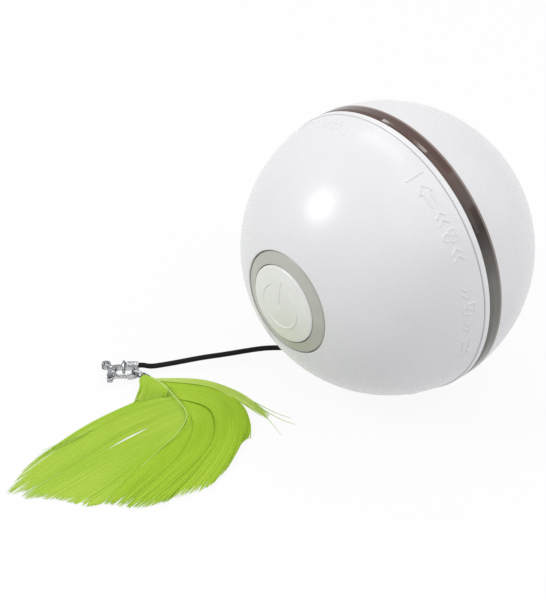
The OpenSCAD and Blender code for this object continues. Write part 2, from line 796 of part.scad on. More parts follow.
module carriage() {
    color("#3b3d40") on_axle() difference() {
        union() {
            intersection() {
                rod(deck_r, deck_h0, motor_h0);
                slab(-deck_r, deck_r, -deck_r, deck_top, deck_h0, motor_h0);
            }
            sectors(1, cradle_r, deck_r, deck_h0, motor_h1, cradle_span[0], cradle_span[1]);
            intersection() {
                rod(cradle_r + fit, motor_h0 - fit, motor_h1);
                union() {
                    for (s = [-1, 1]) {
                        slab(motor_at[0] + min(s * rib_in, s * rib_out), motor_at[0] + max(s * rib_in, s * rib_out),
                            -deck_r, motor_at[1] + rib_top, motor_h0 - fit, motor_h1 - motor_cap_t);
                        slab(motor_at[0] + min(s * rib_in, s * deck_r), motor_at[0] + max(s * rib_in, s * deck_r),
                            -shelf_low - shelf_t, -shelf_low, motor_h0 - fit, motor_h1 - motor_cap_t);
                    }
                }
            }
            at_each(deck_posts) rod(post_r, plate_h1, deck_h0 + fit);
            at_each(board_posts) rod(post_r, motor_h0 - fit, board_h0);
        }
        deck_holes(deck_h0 - cut, motor_h0 + cut);
        translate(motor_at) rod(motor_boss_r, deck_h0 - cut, motor_h0 + cut);
        at_each(deck_posts) rod(screw_r, plate_h1 - cut, plate_h1 + thread_l);
        at_each(board_posts) rod(screw_r, board_h0 - thread_l, board_h0 + cut);
    }
}

module gear_plate() {
    color("#3b3d40") on_axle() difference() {
        intersection() {
            rod(plate_r, plate_h0, plate_h1);
            slab(-plate_r, plate_r, -plate_r, deck_top, plate_h0, plate_h1);
        }
        deck_holes(plate_h0 - cut, plate_h1 + cut);
        at_each(deck_posts) rod(screw_r + fit, plate_h0 - cut, plate_h1 + cut);
    }
}

module plate_screws() {
    color("#9a9da0") on_axle() at_each(deck_posts) translate([0, 0, plate_h0])
        rotate([180, 0, 0]) screw(plate_t + thread_l - 0.5);
}

module axle_bush() {
    color("#c9a24a") on_axle() tube(bush_r, axle_r + run_gap, plate_h0, motor_h0);
}

module motor_can() {
    color("#b4b7ba") on_axle() translate(motor_at) difference() {
        union() {
            intersection() {
                rod(motor_d / 2, motor_h0, motor_h1 - motor_cap_t);
                slab(-motor_flat / 2, motor_flat / 2, -motor_d, motor_d, motor_h0, motor_h1);
            }
            rod(motor_boss_r - fit, motor_h0 - motor_boss_t, motor_h0 + fit);
        }
        rod(motor_shaft_d / 2 + run_gap, motor_h0 - motor_boss_t - cut, motor_h0 + rotor_l);
    }
}

module motor_cap() {
    color("#26272a") on_axle() translate(motor_at) union() {
        intersection() {
            rod(motor_d / 2 - 0.4, motor_h1 - motor_cap_t, motor_h1);
            slab(-motor_flat / 2, motor_flat / 2, -motor_d, motor_d, motor_h1 - motor_cap_t, motor_h1);
        }
        for (s = [-1, 1]) translate([s * motor_tab_at, 0, 0])
            rod(0.5, motor_h1 - fit, motor_h1 + motor_tab_l);
    }
}

module motor_shaft() {
    color("#c4c7ca") on_axle() translate(motor_at)
        rod(motor_shaft_d / 2, middle_wheel_h - gear_side / 2, motor_h0 + rotor_l - 0.4);
}

module motor_pinion() {
    color("#c9a24a") on_axle() translate(motor_at) difference() {
        gear(motor_teeth, train_module, middle_wheel_h, gear_w, motor_dir + 180 + 180 / motor_teeth);
        rod(motor_shaft_d / 2, middle_wheel_h - cut, deck_h0);
    }
}

module middle_gear() {
    color("#e9e4d4") on_axle() translate(middle_at) difference() {
        union() {
            gear(middle_teeth, train_module, wheel_h, gear_w + gear_side + fit,
                middle_dir + 180 + 180 / middle_teeth);
            gear(middle_wheel_teeth, train_module, middle_wheel_h, gear_w, motor_dir);
        }
        rod(middle_pin_d / 2 + run_gap, wheel_h - cut, deck_h0);
    }
}

module middle_pin() {
    color("#c4c7ca") on_axle() translate(middle_at) rod(middle_pin_d / 2, plate_h0 + 0.3, motor_h0 - 0.3);
}

module output_wheel() {
    color("#e9e4d4") on_axle() translate(output_at) difference() {
        gear(wheel_teeth, train_module, wheel_h, gear_w, middle_dir);
        rod(output_shaft_d / 2, wheel_h - cut, deck_h0);
    }
}

module output_pinion() {
    color("#e9e4d4") on_axle() translate(output_at) difference() {
        gear(output_teeth, output_module, sun_h0 + 0.2, sun_w + 0.4, output_dir + 180 + 180 / output_teeth);
        rod(output_shaft_d / 2, sun_h0 - cut, plate_h0);
    }
}

module output_shaft() {
    color("#c4c7ca") on_axle() translate(output_at) rod(output_shaft_d / 2, sun_h0 + 0.2, motor_h0 - 0.2);
}

module battery_pad() {
    color("#4a4d52") on_axle() slab(battery_at - pad_t, battery_at,
        block_gap - shelf_low, motor_at[1] + rib_top, motor_h0 + block_gap, motor_h1 - motor_cap_t);
}

module battery() {
    color("#8f9aa3") on_axle() slab(battery_at, battery_at + battery_t, block_gap - shelf_low,
        block_gap - shelf_low + battery_w, motor_h0 + block_gap, motor_h0 + block_gap + battery_l);
}

module balance_weight() {
    color("#7f8285") on_axle() slab(weight_at - weight_t, weight_at, block_gap - shelf_low,
        block_gap - shelf_low + weight_w, motor_h0 + block_gap, motor_h1 - motor_cap_t);
}

module circuit_board() {
    color("#2f6b45") on_axle() difference() {
        rod(board_r, board_h0, board_h1);
        at_each(board_posts) rod(screw_r + fit, board_h0 - cut, board_h1 + cut);
    }
}

module board_cover() {
    color("#3b3d40") on_axle() difference() {
        union() {
            rod(cover_r, cover_h0, cover_h1);
            rod(journal_r, cover_h0, journal_h);
            at_each(board_posts) rod(post_r, board_h1, cover_h1);
        }
        rod(journal_bore, cover_h0 - cut, journal_h + cut);
        at_each(board_posts) rod(screw_r + fit, board_h1 - cut, cover_h1 + cut);
        at_each(board_posts) rod(head_r + 0.2, cover_h1 - head_t, cover_h1 + cut);
        slab(port_at[0] - port_size[0] / 2 - 0.2, port_at[0] + port_size[0] / 2 + 0.2,
            port_at[1] - port_size[1] / 2 - 0.2, port_at[1] + port_size[1] / 2 + 0.2,
            cover_h0 - cut, cover_h1 + cut);
    }
}

module cover_screws() {
    color("#9a9da0") on_axle() at_each(board_posts) translate([0, 0, cover_h1 - head_t])
        screw(cover_h1 - head_t - board_h0 + thread_l - 0.5);
}

module switch_body() {
    color("#26272a") on_axle() difference() {
        slab(-switch_w / 2, switch_w / 2, -switch_w / 2, switch_w / 2, board_h1, switch_h);
        rod(switch_cap_r + run_gap, switch_h - switch_cap_in - button_travel - 0.2, switch_h + cut);
    }
}

module switch_cap() {
    color("#cfd1d3") on_axle() rod(switch_cap_r, switch_h - switch_cap_in, switch_top);
}

module charge_port() {
    color("#b4b7ba") on_axle() translate(port_at) difference() {
        slab(-port_size[0] / 2, port_size[0] / 2, -port_size[1] / 2, port_size[1] / 2, board_h1, port_h);
        slab(port_wall - port_size[0] / 2, port_size[0] / 2 - port_wall, port_wall - port_size[1] / 2,
            port_size[1] / 2 - port_wall, board_h1 + port_wall, port_h + cut);
    }
}

module lamps() {
    step = (lamp_arc[1] - lamp_arc[0]) / (lamp_count - 1);
    color("#f4f2e4") on_axle() for (i = [0 : lamp_count - 1]) rotate([0, 0, lamp_arc[0] + i * step])
        translate([board_r - lamp_r, 0, 0]) {
            rod(lamp_r, -lamp_l / 2, lamp_l / 2);
            for (s = [-1, 1]) translate([0, s * lamp_r / 2, 0]) rod(lamp_leg / 2, 0, board_h0);
        }
}

module motor_leads() {
    color("#b03028") on_axle() for (s = [-1, 1]) {
        x = motor_at[0] + s * motor_tab_at;
        y = motor_at[1];
        h = motor_h1 + motor_tab_l;
        sweep(open_curve([[x, y + 0.9, h], [x + s * lead_run / 3, y + lead_run, h + lead_r / 2],
            [x + s * lead_run * 2 / 3, y + 2 * lead_run, h + 1.5 * lead_r],
            [x + s * lead_run * 2 / 3, y + 3 * lead_run, board_h0 - lead_r - 0.1]], 3), lead_r, lead_r, 8, [1, 0, 0]);
    }
}

module battery_leads() {
    x = battery_at + battery_t / 2;
    y = block_gap - shelf_low + battery_w;
    h = motor_h0 + block_gap + battery_l;
    color("#1f2022") on_axle() for (s = [-1, 1])
        sweep(open_curve([[x + s, y - 3 * lead_run, h + lead_r + fit], [x + s, y - 2 * lead_run, h + 1.5 * lead_r],
            [x + s, y, h + 3 * lead_r], [x + s, y + lead_run, board_h0 - lead_r - 0.1]], 3),
            lead_r, lead_r, 8, [1, 0, 0]);
}

module tail_grommet() {
    color("#202124") on_tail() difference() {
        union() {
            rod(cord_d / 2 + cord_gap + grommet_t, -wall - grommet_t, grommet_t);
            rod(grommet_r, fit, grommet_t);
            rod(grommet_r, -wall - grommet_t, -wall - 0.1);
        }
        rod(cord_d / 2 + cord_gap, -wall - cut, cut);
    }
}

module tail_knot() {
    color("#181818") on_tail() difference() {
        translate([0, 0, -wall - grommet_t - knot_r]) sphere(r = knot_r);
        rod(cord_d / 2 + cord_gap, -wall - grommet_t - 2 * knot_r - cut, cut);
    }
}

module tail_cord() {
    color("#181818") sweep(open_curve(cord_route, cord_steps), cord_d / 2, cord_d / 2, 8, [0.86, -0.5, 0]);
}

module on_clasp() {
    translate(clasp_at) rotate([0, 0, clasp_turn]) children();
}

module link(at, r, dir, lean) {
    translate([at[0], at[1], 0]) rotate([0, 0, dir]) rotate([90 + lean, 0, 0])
        rotate_extrude() translate([r, 0]) circle(r = link_wire);
}

module stadium(x0, x1, r) {
    translate([x0, 0]) circle(r = r);
    translate([x1, 0]) circle(r = r);
    translate([x0, -r]) square([x1 - x0, 2 * r]);
}

module flat(t) {
    translate([0, 0, -t / 2]) linear_extrude(height = t) children();
}

module cord_crimp() {
    color("#c9cbce") on_clasp() translate([0, 0, -crimp_drop]) difference() {
        union() {
            translate([crimp_from, crimp_lane, 0]) rotate([0, 90, 0]) cylinder(r = crimp_r, h = crimp_l);
            flat(lug_plate_t) translate(crimp_lug_at) circle(r = lug_plate_r);
            flat(lug_plate_t) translate(crimp_lug_at) square([lug_plate_r + 0.3, lug_plate_r]);
        }
        translate([crimp_lug_at[0], crimp_lug_at[1], -cut]) cylinder(r = lug_hole, h = 2 * cut);
        translate([crimp_from + 0.5, crimp_lane, 0]) rotate([0, 90, 0])
            cylinder(r = cord_d / 2 + cord_gap, h = crimp_l);
    }
}

module crimp_ring() {
    color("#c9cbce") on_clasp() link(crimp_ring_at, link_r, 90, 0);
}

module feather_ring() {
    color("#c9cbce") on_clasp() link(feather_ring_at, feather_link_r, feather_ring_dir, feather_ring_lean);
}

module clasp_body() {
    slot = gate_t / 2 + gate_gap;
    color("#c9cbce") on_clasp() difference() {
        flat(clasp_t) difference() {
            union() {
                stadium(claw_mid - claw_end, claw_mid + claw_end, claw_r);
                translate(pivot) circle(r = gate_hub_r + gate_gap);
                translate([eye_at, eye_lift]) circle(r = eye_r);
                translate([eye_at, eye_lift]) rotate(neck_dir) translate([0, -eye_r / 2])
                    square([neck_l, eye_r]);
            }
            stadium(open_from, claw_mid + claw_end, claw_in);
            translate([eye_at, eye_lift]) circle(r = eye_hole);
            translate([gate_from, -claw_r - cut]) square([gate_to - gate_from, claw_t + cut]);
            translate([cheek_to, -claw_r - cut]) square([gate_to - cheek_to, claw_r + cut]);
        }
        translate([pivot[0] - gate_hub_r - gate_gap, -claw_r - cut, -slot])
            cube([gate_hub_r + 2 * gate_gap, pivot[1] + gate_hub_r + gate_gap + claw_r + cut, 2 * slot]);
        translate([pivot[0], -claw_r - cut, -slot])
            cube([open_from - pivot[0], gate_clear + claw_r + cut, 2 * slot]);
        translate([pivot[0], pivot[1], -clasp_t]) cylinder(r = pin_r, h = 2 * clasp_t);
    }
}

module clasp_gate() {
    tip = gate_to - gate_gap - gate_w / 2;
    color("#c9cbce") on_clasp() difference() {
        flat(gate_t) {
            translate(pivot) circle(r = gate_hub_r);
            translate([pivot[0], pivot[1] - gate_w / 2]) square([tip - pivot[0], gate_w]);
            translate([tip, pivot[1]]) circle(r = gate_w / 2);
            translate(pivot) rotate(lever_dir) translate([0, -gate_w / 2]) square([lever_l, gate_w]);
            translate(pivot) rotate(lever_dir) translate([lever_l, 0]) circle(r = lever_pad);
        }
        translate([pivot[0], pivot[1], -clasp_t]) cylinder(r = pin_r + run_gap, h = 2 * clasp_t);
    }
}

module clasp_pin() {
    head_t = 0.25;
    color("#b4b7ba") on_clasp() translate([pivot[0], pivot[1], 0]) {
        rod(pin_r, -clasp_t / 2 - head_t, clasp_t / 2 + head_t);
        for (s = [0, 180]) rotate([s, 0, 0]) rod(pin_head_r, clasp_t / 2 + 0.02, clasp_t / 2 + head_t);
        for (s = [0, 180]) rotate([s, 0, 0]) rod(pin_head_r * 0.6, clasp_t / 2, clasp_t / 2 + 1.6 * head_t);
    }
}

module feather_cap() {
    color("#c9cbce") on_clasp() translate([cap_eye_at[0], cap_eye_at[1], 0])
        rotate([0, 0, cap_turn]) difference() {
        union() {
            flat(lug_plate_t) circle(r = lug_plate_r);
            flat(lug_plate_t) translate([0, -lug_plate_r / 2]) square([lug_plate_r + 0.5, lug_plate_r]);
            translate([lug_plate_r, 0, 0]) rotate([0, 90, 0])
                cylinder(r = quill_d / 2 + fit + cap_t, h = cap_l);
        }
        translate([0, 0, -cut]) cylinder(r = lug_hole, h = 2 * cut);
        translate([lug_plate_r + 0.4, 0, 0]) rotate([0, 90, 0]) cylinder(r = quill_d / 2 + fit, h = cap_l);
    }
}

module feather_quill() {
    color("#c8e07a") sweep(open_curve(quill_route, 2), quill_d / 2, quill_tip_d / 2, 8, [0, 0, 1]);
}

module feather_web() {
    color("#a6cb35") translate([0, 0, feather_low]) linear_extrude(height = web_t)
        polygon(closed_curve(web_outline, web_steps));
}

front_shell();
button_bezel();
button_carrier();
carrier_screws();
button_spring();
power_button();
rear_shell();
light_ring();
trim_collar();
front_bridge();
bridge_screws();
front_bush();
drive_gear();
drive_gear_screws();
drive_axle();
carriage();
gear_plate();
plate_screws();
axle_bush();
motor_can();
motor_cap();
motor_shaft();
motor_pinion();
middle_gear();
middle_pin();
output_wheel();
output_pinion();
output_shaft();
battery();
battery_pad();
balance_weight();
circuit_board();
board_cover();
cover_screws();
switch_body();
switch_cap();
charge_port();
lamps();
motor_leads();
battery_leads();
tail_grommet();
tail_knot();
tail_cord();
cord_crimp();
crimp_ring();
clasp_body();
clasp_gate();
clasp_pin();
feather_ring();
feather_cap();
feather_quill();
feather_web();
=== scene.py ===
# %% [markdown]
# # A rolling cat ball with a feather tail
# The toy is a ball of two white shells with a smoky light band between them. A push button sits on one
# side, and a short black cord drags a green feather on a clasp. The solid model is loaded first and
# stays where it is. This lesson gives its pieces their finishes and adds what a solid can't show well:
# the raised signs, the cord's cover, a wound spring and the barbs of the feather.

# %% Load the solid model
import bmesh
import bpy
import math
import random
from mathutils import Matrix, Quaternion, Vector


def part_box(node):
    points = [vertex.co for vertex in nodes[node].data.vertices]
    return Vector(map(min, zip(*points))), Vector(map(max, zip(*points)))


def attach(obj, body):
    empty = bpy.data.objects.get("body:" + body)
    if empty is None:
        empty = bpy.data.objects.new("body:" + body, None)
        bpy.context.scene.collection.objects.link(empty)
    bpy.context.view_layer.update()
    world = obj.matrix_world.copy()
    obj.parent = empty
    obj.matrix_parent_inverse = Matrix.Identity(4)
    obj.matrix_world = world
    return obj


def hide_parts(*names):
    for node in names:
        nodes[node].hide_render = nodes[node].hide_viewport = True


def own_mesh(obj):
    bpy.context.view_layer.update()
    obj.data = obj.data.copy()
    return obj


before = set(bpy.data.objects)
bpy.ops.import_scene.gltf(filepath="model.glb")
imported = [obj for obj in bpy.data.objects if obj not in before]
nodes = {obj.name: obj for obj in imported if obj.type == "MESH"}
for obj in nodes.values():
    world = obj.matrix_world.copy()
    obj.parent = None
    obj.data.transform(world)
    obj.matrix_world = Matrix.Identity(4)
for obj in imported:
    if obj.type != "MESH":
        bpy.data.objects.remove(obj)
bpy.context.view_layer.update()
MM = 0.001

# %% [markdown]
# ## The camera
# The product picture was taken from above and to the right of the button, with a long lens that keeps
# the ball round. A 120 mm lens on a 36 mm sensor gives the same calm perspective.

# %% Place the camera
CAMERA_AT = Vector((292.71, -301.14, 334.48))
CAMERA_LOOK = Vector((-0.59699, 0.53417, -0.59856))
LENS = 120
SENSOR = 36
NEAREST_SEEN = 10


def put(name, data):
    """Adds an object with this data to the scene."""
    made = bpy.data.objects.new(name, data)
    bpy.context.scene.collection.objects.link(made)
    return made


camera_data = bpy.data.cameras.new("studio_camera")
camera_data.lens = LENS
camera_data.sensor_width = SENSOR
camera_data.clip_start = NEAREST_SEEN * MM
camera = put("studio_camera", camera_data)
camera.location = CAMERA_AT * MM
camera.rotation_euler = CAMERA_LOOK.to_track_quat("-Z", "Y").to_euler()
bpy.context.scene.camera = camera
bpy.context.scene.view_settings.view_transform = "Standard"
print("camera to the ball's foot:", round(CAMERA_AT.length), "mm")

# %% [markdown]
# ## Colours and shader nodes
# Colours are written as they look on a screen, in hex. Shaders count in linear light, so one function
# turns them over. A second function adds one shader node with its options, values and links, and with
# the stops of a colour ramp. That keeps every finish below short enough to read in one look.

# %% Helpers for finishes
def linear(colour):
    """Turns a hex colour as seen on a screen into the linear colour that shaders use."""
    parts = [int(colour[i:i + 2], 16) / 255 for i in (1, 3, 5)]
    return [p / 12.92 if p <= 0.04045 else ((p + 0.055) / 1.055) ** 2.4 for p in parts] + [1.0]


def shader(tree, kind, sockets=None, stops=(), **options):
    """Adds a shader node. Sockets take a value or another node's output, stops fill a colour ramp."""
    made = tree.nodes.new("ShaderNode" + kind)
    for name, value in options.items():
        setattr(made, name, value)
    for name, value in (sockets or {}).items():
        if isinstance(value, bpy.types.NodeSocket):
            tree.links.new(value, made.inputs[name])
        else:
            made.inputs[name].default_value = value
    if stops:
        ramp = made.color_ramp.elements
        for element, (position, colour) in zip(ramp, (stops[0], stops[-1])):
            element.position = position
            element.color = linear(colour)
        for position, colour in stops[1:-1]:
            ramp.new(position).color = linear(colour)
    return made


def blank(name):
    """A new material with an empty node tree."""
    material = bpy.data.materials.new(name)
    material.use_nodes = True
    material.node_tree.nodes.clear()
    return material, material.node_tree


print("white in linear light:", linear("#ffffff")[:3])

# %% [markdown]
# ## The white room
# Such a picture is taken in a white room, where soft light comes from all sides. The world's background
# is the plainest room there is. The camera sees it pure white, also in reflections, but it lights the
# ball with about half of that, which leaves the lamps room to shape it.

# %% Light the room
WHITE = linear("#ffffff")
AMBIENT = 0.53


def seen_directly(tree):
    """1 for what the camera sees, also by reflection or through clear pieces, and 0 for stray light."""
    path = shader(tree, "LightPath").outputs
    mirror = shader(tree, "Math", {0: path["Is Camera Ray"], 1: path["Is Glossy Ray"]},
                    operation="MAXIMUM")
    return shader(tree, "Math", {0: mirror.outputs[0], 1: path["Is Transmission Ray"]},
                  operation="MAXIMUM").outputs[0]


world = bpy.data.worlds.new("studio")
bpy.context.scene.world = world
world.use_nodes = True
sky = world.node_tree
sky.nodes.clear()
level = shader(sky, "Math", {0: seen_directly(sky), 1: 1 - AMBIENT, 2: AMBIENT},
               operation="MULTIPLY_ADD")
dome = shader(sky, "Background", {"Color": WHITE, "Strength": level.outputs[0]})
shader(sky, "OutputWorld", {"Surface": dome.outputs[0]})
print("room light on the ball:", AMBIENT)

# %% [markdown]
# ## The floor
# The floor is a plain pale sheet of paper. It is white to the camera and in reflections, yet it still
# takes the soft shadow, because part of what the camera sees is its lit surface. A share of glow mixed
# with a plain matt surface does both. It lies a hair under the ball, so the two don't fight.

# %% Lay the floor
FLOOR_GLOW = 0.88
GLOW_STRENGTH = 1.04
FLOOR_HALF = 2.0
FLOOR_DROP = 0.05

paper, tree = blank("pale_paper_floor")
part_glow = shader(tree, "Math", {0: seen_directly(tree), 1: FLOOR_GLOW}, operation="MULTIPLY")
lit = shader(tree, "BsdfDiffuse", {"Color": linear("#d2d2d2")})
glow = shader(tree, "Emission", {"Color": WHITE, "Strength": GLOW_STRENGTH})
mixed = shader(tree, "MixShader", {0: part_glow.outputs[0], 1: lit.outputs[0], 2: glow.outputs[0]})
shader(tree, "OutputMaterial", {"Surface": mixed.outputs[0]})

floor_form = bmesh.new()
bmesh.ops.create_grid(floor_form, x_segments=2, y_segments=2, size=FLOOR_HALF)
bmesh.ops.translate(floor_form, vec=(0, 0, -FLOOR_DROP * MM), verts=floor_form.verts)
floor_mesh = bpy.data.meshes.new("floor")
floor_form.to_mesh(floor_mesh)
floor_form.free()
floor_mesh.materials.append(paper)
floor = put("floor", floor_mesh)
print("floor:", 2 * FLOOR_HALF, "m wide")

# %% [markdown]
# ## The lamps
# One round softbox stands over the left of the button and makes the clear highlight on the shell. Two
# wide lamps lift the other sides softly, and a narrow strip overhead puts thin glints on the sloped edge
# of the smoky band. All are area lamps, because the size of a lamp sets the size of its highlight.

# %% Hang the lamps
BALL_MIDDLE = Vector((0, 0, 0.038))
STRIP_WIDE = 0.035
STRIP_ROLL = -63


def softbox(name, towards, distance, size, power, strip=None):
    """A lamp in metres and watts that looks at the ball: round, or a strip with a width and a roll."""
    lamp = bpy.data.lights.new(name, "AREA")
    lamp.shape = "RECTANGLE" if strip else "DISK"
    lamp.size = size
    lamp.energy = power
    turn = Vector(towards).to_track_quat("Z", "Y")
    if strip:
        lamp.size_y = strip[0]
        turn = turn @ Quaternion((0, 0, 1), math.radians(strip[1]))
    made = put(name, lamp)
    made.location = BALL_MIDDLE + Vector(towards).normalized() * distance
    made.rotation_euler = turn.to_euler()


softbox("key_softbox", (-0.444, -0.643, 0.625), distance=0.75, size=0.30, power=1.7)
softbox("right_fill", (0.53, 0.14, 0.84), distance=1.1, size=1.4, power=4.4)
softbox("top_strip", (-0.35, 0.275, 0.895), distance=0.8, size=0.6, power=0.55,
        strip=(STRIP_WIDE, STRIP_ROLL))
softbox("back_fill", (0.3, 0.9, 0.4), distance=1.2, size=0.9, power=0.8)

# %% [markdown]
# ## Moulded plastics, metals and rubber
# Most pieces are injection mouldings. Such a skin is never one flat colour: it clouds a little where
# the melt cooled, and it carries the fine grain of the tool. One function makes that kind of skin from
# two close tones, a grain in millimetres and a gloss. The numbers say which plastic or metal it is.

# %% Make the rigid finishes
GLOSS_SPREAD = 0.15
ABS_IOR = 1.53


def skin(name, tone, shade, gloss, grain=0.3, relief=0.004, cloud=9.0, **sockets):
    """A moulded or plated skin: tone and shade cloud over some millimetres, grain roughens it."""
    material, tree = blank(name)
    place = shader(tree, "TexCoord").outputs["Object"]
    clouds = shader(tree, "TexNoise", {"Vector": place, "Scale": 1 / (cloud * MM), "Detail": 2.0})
    tint = shader(tree, "ValToRGB", {"Fac": clouds.outputs["Fac"]}, stops=[(0.3, shade), (0.7, tone)])
    grains = shader(tree, "TexNoise", {"Vector": place, "Scale": 1 / (grain * MM), "Detail": 3.0})
    polish = shader(tree, "MapRange", {
        "Value": grains.outputs["Fac"], "To Min": gloss * (1 - GLOSS_SPREAD),
        "To Max": gloss * (1 + GLOSS_SPREAD)})
    bump = shader(tree, "Bump", {"Height": grains.outputs["Fac"], "Distance": relief * MM})
    body = shader(tree, "BsdfPrincipled", {
        "Base Color": tint.outputs["Color"], "Roughness": polish.outputs["Result"],
        "Normal": bump.outputs["Normal"], **sockets})
    shader(tree, "OutputMaterial", {"Surface": body.outputs[0]})
    return material


# Semi-gloss ABS, moulded in polished steel: a soft-edged highlight on a nearly even white.
white_abs = skin("white_abs", "#ededf0", "#eaeaed", 0.27, relief=0.0004, cloud=18.0, IOR=ABS_IOR)
# The same ABS on the collar, a shade brighter.
collar_abs = skin("collar_abs", "#f2f2f4", "#efeff2", 0.3, relief=0.0004, cloud=18.0, IOR=ABS_IOR)
# Warm grey ABS with a fine spark-eroded grain on the bezel.
grey_abs = skin("warm_grey_abs", "#c4c4bc", "#bbbbb2", 0.36, relief=0.003, IOR=ABS_IOR)
# Off-white ABS of the push button, a little creamier than the shells.
button_abs = skin("off_white_abs", "#f2f3f0", "#ebece8", 0.33, relief=0.003, IOR=ABS_IOR)
# Natural unpainted ABS of inner brackets, matt from a plain tool.
plain_abs = skin("natural_abs", "#dcdcd6", "#cfcfc8", 0.5, IOR=ABS_IOR)
# Black-grey glass-filled nylon of the carriage: dull and slightly cloudy.
nylon = skin("glass_filled_nylon", "#45474a", "#35373a", 0.58, grain=0.5, relief=0.01, IOR=1.53)
# Acetal of the gears: waxy and cream-white.
acetal = skin("acetal", "#ece8da", "#e2dcc9", 0.4, IOR=1.48)
# Zinc-plated steel of screws, shafts and the motor's can: cool grey with a fine grain.
zinc_steel = skin("zinc_plated_steel", "#bfc3c7", "#a6aaae", 0.34, grain=0.2, Metallic=1.0)
# Free-cutting brass of the bushes and the motor's pinion: warm yellow with a fine grain.
brass = skin("turned_brass", "#cfae62", "#b8954a", 0.3, grain=0.2, Metallic=1.0)
# Aluminium foil pouch of the cell, softly creased.
foil = skin("cell_foil", "#aab3ba", "#929ba3", 0.38, grain=1.2, relief=0.03, Metallic=0.8)
# Closed-cell foam of the cell's pad: dark and dull with fine pores.
foam = skin("pad_foam", "#55585d", "#43464a", 0.9, grain=0.4, relief=0.05)
# Green solder mask over glass laminate: half-glossy, with a faint grain.
solder_mask = skin("solder_mask", "#2f7048", "#27603d", 0.35, grain=0.8, relief=0.004)
# Clear epoxy of the lamps, which looks pale yellow over its chip.
lamp_resin = skin("lamp_epoxy", "#f6f3e6", "#ece8d6", 0.12, IOR=1.52)
# Silicone insulation of the wires, one red and one black: soft and matt.
red_wire = skin("red_silicone", "#b5352c", "#9c2a23", 0.55)
black_wire = skin("black_silicone", "#242527", "#1b1c1e", 0.55)
# Moulded rubber of the grommet: matt black with a faint bloom.
black_rubber = skin("moulded_rubber", "#26272a", "#1b1c1e", 0.7, relief=0.006)
print("rigid finishes: from", white_abs.name, "to", black_rubber.name)

# %% [markdown]
# ## The smoky light band
# The band is a polished ring of smoke-tinted plastic, lit from inside when the toy runs. Glass with a
# tint would do, but the inside would show through and the picture would take long. So light and shade
# are painted by height, with a slow swirl that keeps the tones from lying in straight lines.

# %% Make the light band's finish
SWIRL_WIDE = 12
SWIRL_DEEP = 14
PAINTED_LIGHT_FROM, PAINTED_LIGHT_TO = 54, 78
GLINT_FROM, GLINT_TO = 1.2, 1.5
GLINT_SHARE = 0.5

# Smoke-tinted polycarbonate, polished: painted light makes it warm brown on top, darkest at the shoulder,
# and a painted reflection of the floor greys it lower down. A painted highlight runs along its rear edge.
smoky_pc, tree = blank("smoky_polycarbonate")
place = shader(tree, "TexCoord").outputs["Object"]
axes = shader(tree, "SeparateXYZ", {"Vector": place})
swirl = shader(tree, "TexNoise", {"Vector": place, "Scale": 1 / (SWIRL_WIDE * MM), "Detail": 2.0})
ragged = shader(tree, "Math", {0: swirl.outputs["Fac"], 1: SWIRL_DEEP * MM, 2: axes.outputs["Z"]},
                operation="MULTIPLY_ADD")
# Painted light and reflection: the tone follows the height, warm brown on top and grey towards the floor.
painted_light_by_height = shader(tree, "MapRange", {"Value": ragged.outputs[0],
                                  "From Min": PAINTED_LIGHT_FROM * MM, "From Max": PAINTED_LIGHT_TO * MM})
smoke_and_painted_light = shader(tree, "ValToRGB", {"Fac": painted_light_by_height.outputs["Result"]},
               stops=[(0.0, "#72716d"), (0.3, "#48403b"), (0.6, "#2b1f19"), (1.0, "#543c34")])
# Painted highlight: a pale line along the rear edge of the band.
painted_edge_highlight = shader(tree, "MapRange", {"Value": axes.outputs["Y"], "From Min": GLINT_FROM * MM,
                                      "From Max": GLINT_TO * MM, "To Max": GLINT_SHARE})
with_edge_highlight = shader(tree, "Mix", {"Factor": painted_edge_highlight.outputs["Result"], "A": smoke_and_painted_light.outputs["Color"],
                             "B": linear("#b3a49d")}, data_type="RGBA")
clear = shader(tree, "BsdfPrincipled", {"Base Color": with_edge_highlight.outputs["Result"], "Roughness": 0.06,
                                        "Specular IOR Level": 0.42})
shader(tree, "OutputMaterial", {"Surface": clear.outputs[0]})
print("light band:", smoky_pc.name)

# %% [markdown]
# ## Nickel on the clasp
# The clasp is a small zinc casting under bright nickel, and its rings are plated wire. A perfect mirror
# would only show the white room and lose its shape. Plated castings are wavy, and that is what makes
# them glitter, so a bump carries soft waves. Where the skin turns away, painted reflection darkens it.

# %% Make the nickel
WAVE_WIDE = 0.9
WAVE_DEEP = 0.13

# Bright nickel over a zinc casting: mirror-like, with soft waves, painted darker where it turns away.
nickel, tree = blank("nickel_plate")
waves = shader(tree, "TexNoise", {"Vector": shader(tree, "TexCoord").outputs["Object"],
                                  "Scale": 1 / (WAVE_WIDE * MM), "Detail": 2.0})
cast = shader(tree, "Bump", {"Height": waves.outputs["Fac"], "Distance": WAVE_DEEP * MM})
# Painted reflection: the colour darkens where the skin turns from the camera.
painted_reflection_mask = shader(tree, "LayerWeight", {"Blend": 0.5, "Normal": cast.outputs["Normal"]})
painted_reflection_tone = shader(tree, "ValToRGB", {"Fac": painted_reflection_mask.outputs["Facing"]},
               stops=[(0.2, "#bfc1c3"), (0.4, "#85878a"), (0.7, "#2a2b2d")])
plate = shader(tree, "BsdfPrincipled", {
    "Base Color": painted_reflection_tone.outputs["Color"], "Roughness": 0.17, "Metallic": 1.0,
    "Normal": cast.outputs["Normal"]})
shader(tree, "OutputMaterial", {"Surface": plate.outputs[0]})
print("clasp and rings:", nickel.name)

# %% [markdown]
# ## Dressing the solids
# Each solid takes one finish. A table that lists the pieces under their finish reads like a parts list,
# and one loop over it puts each finish on its pieces.

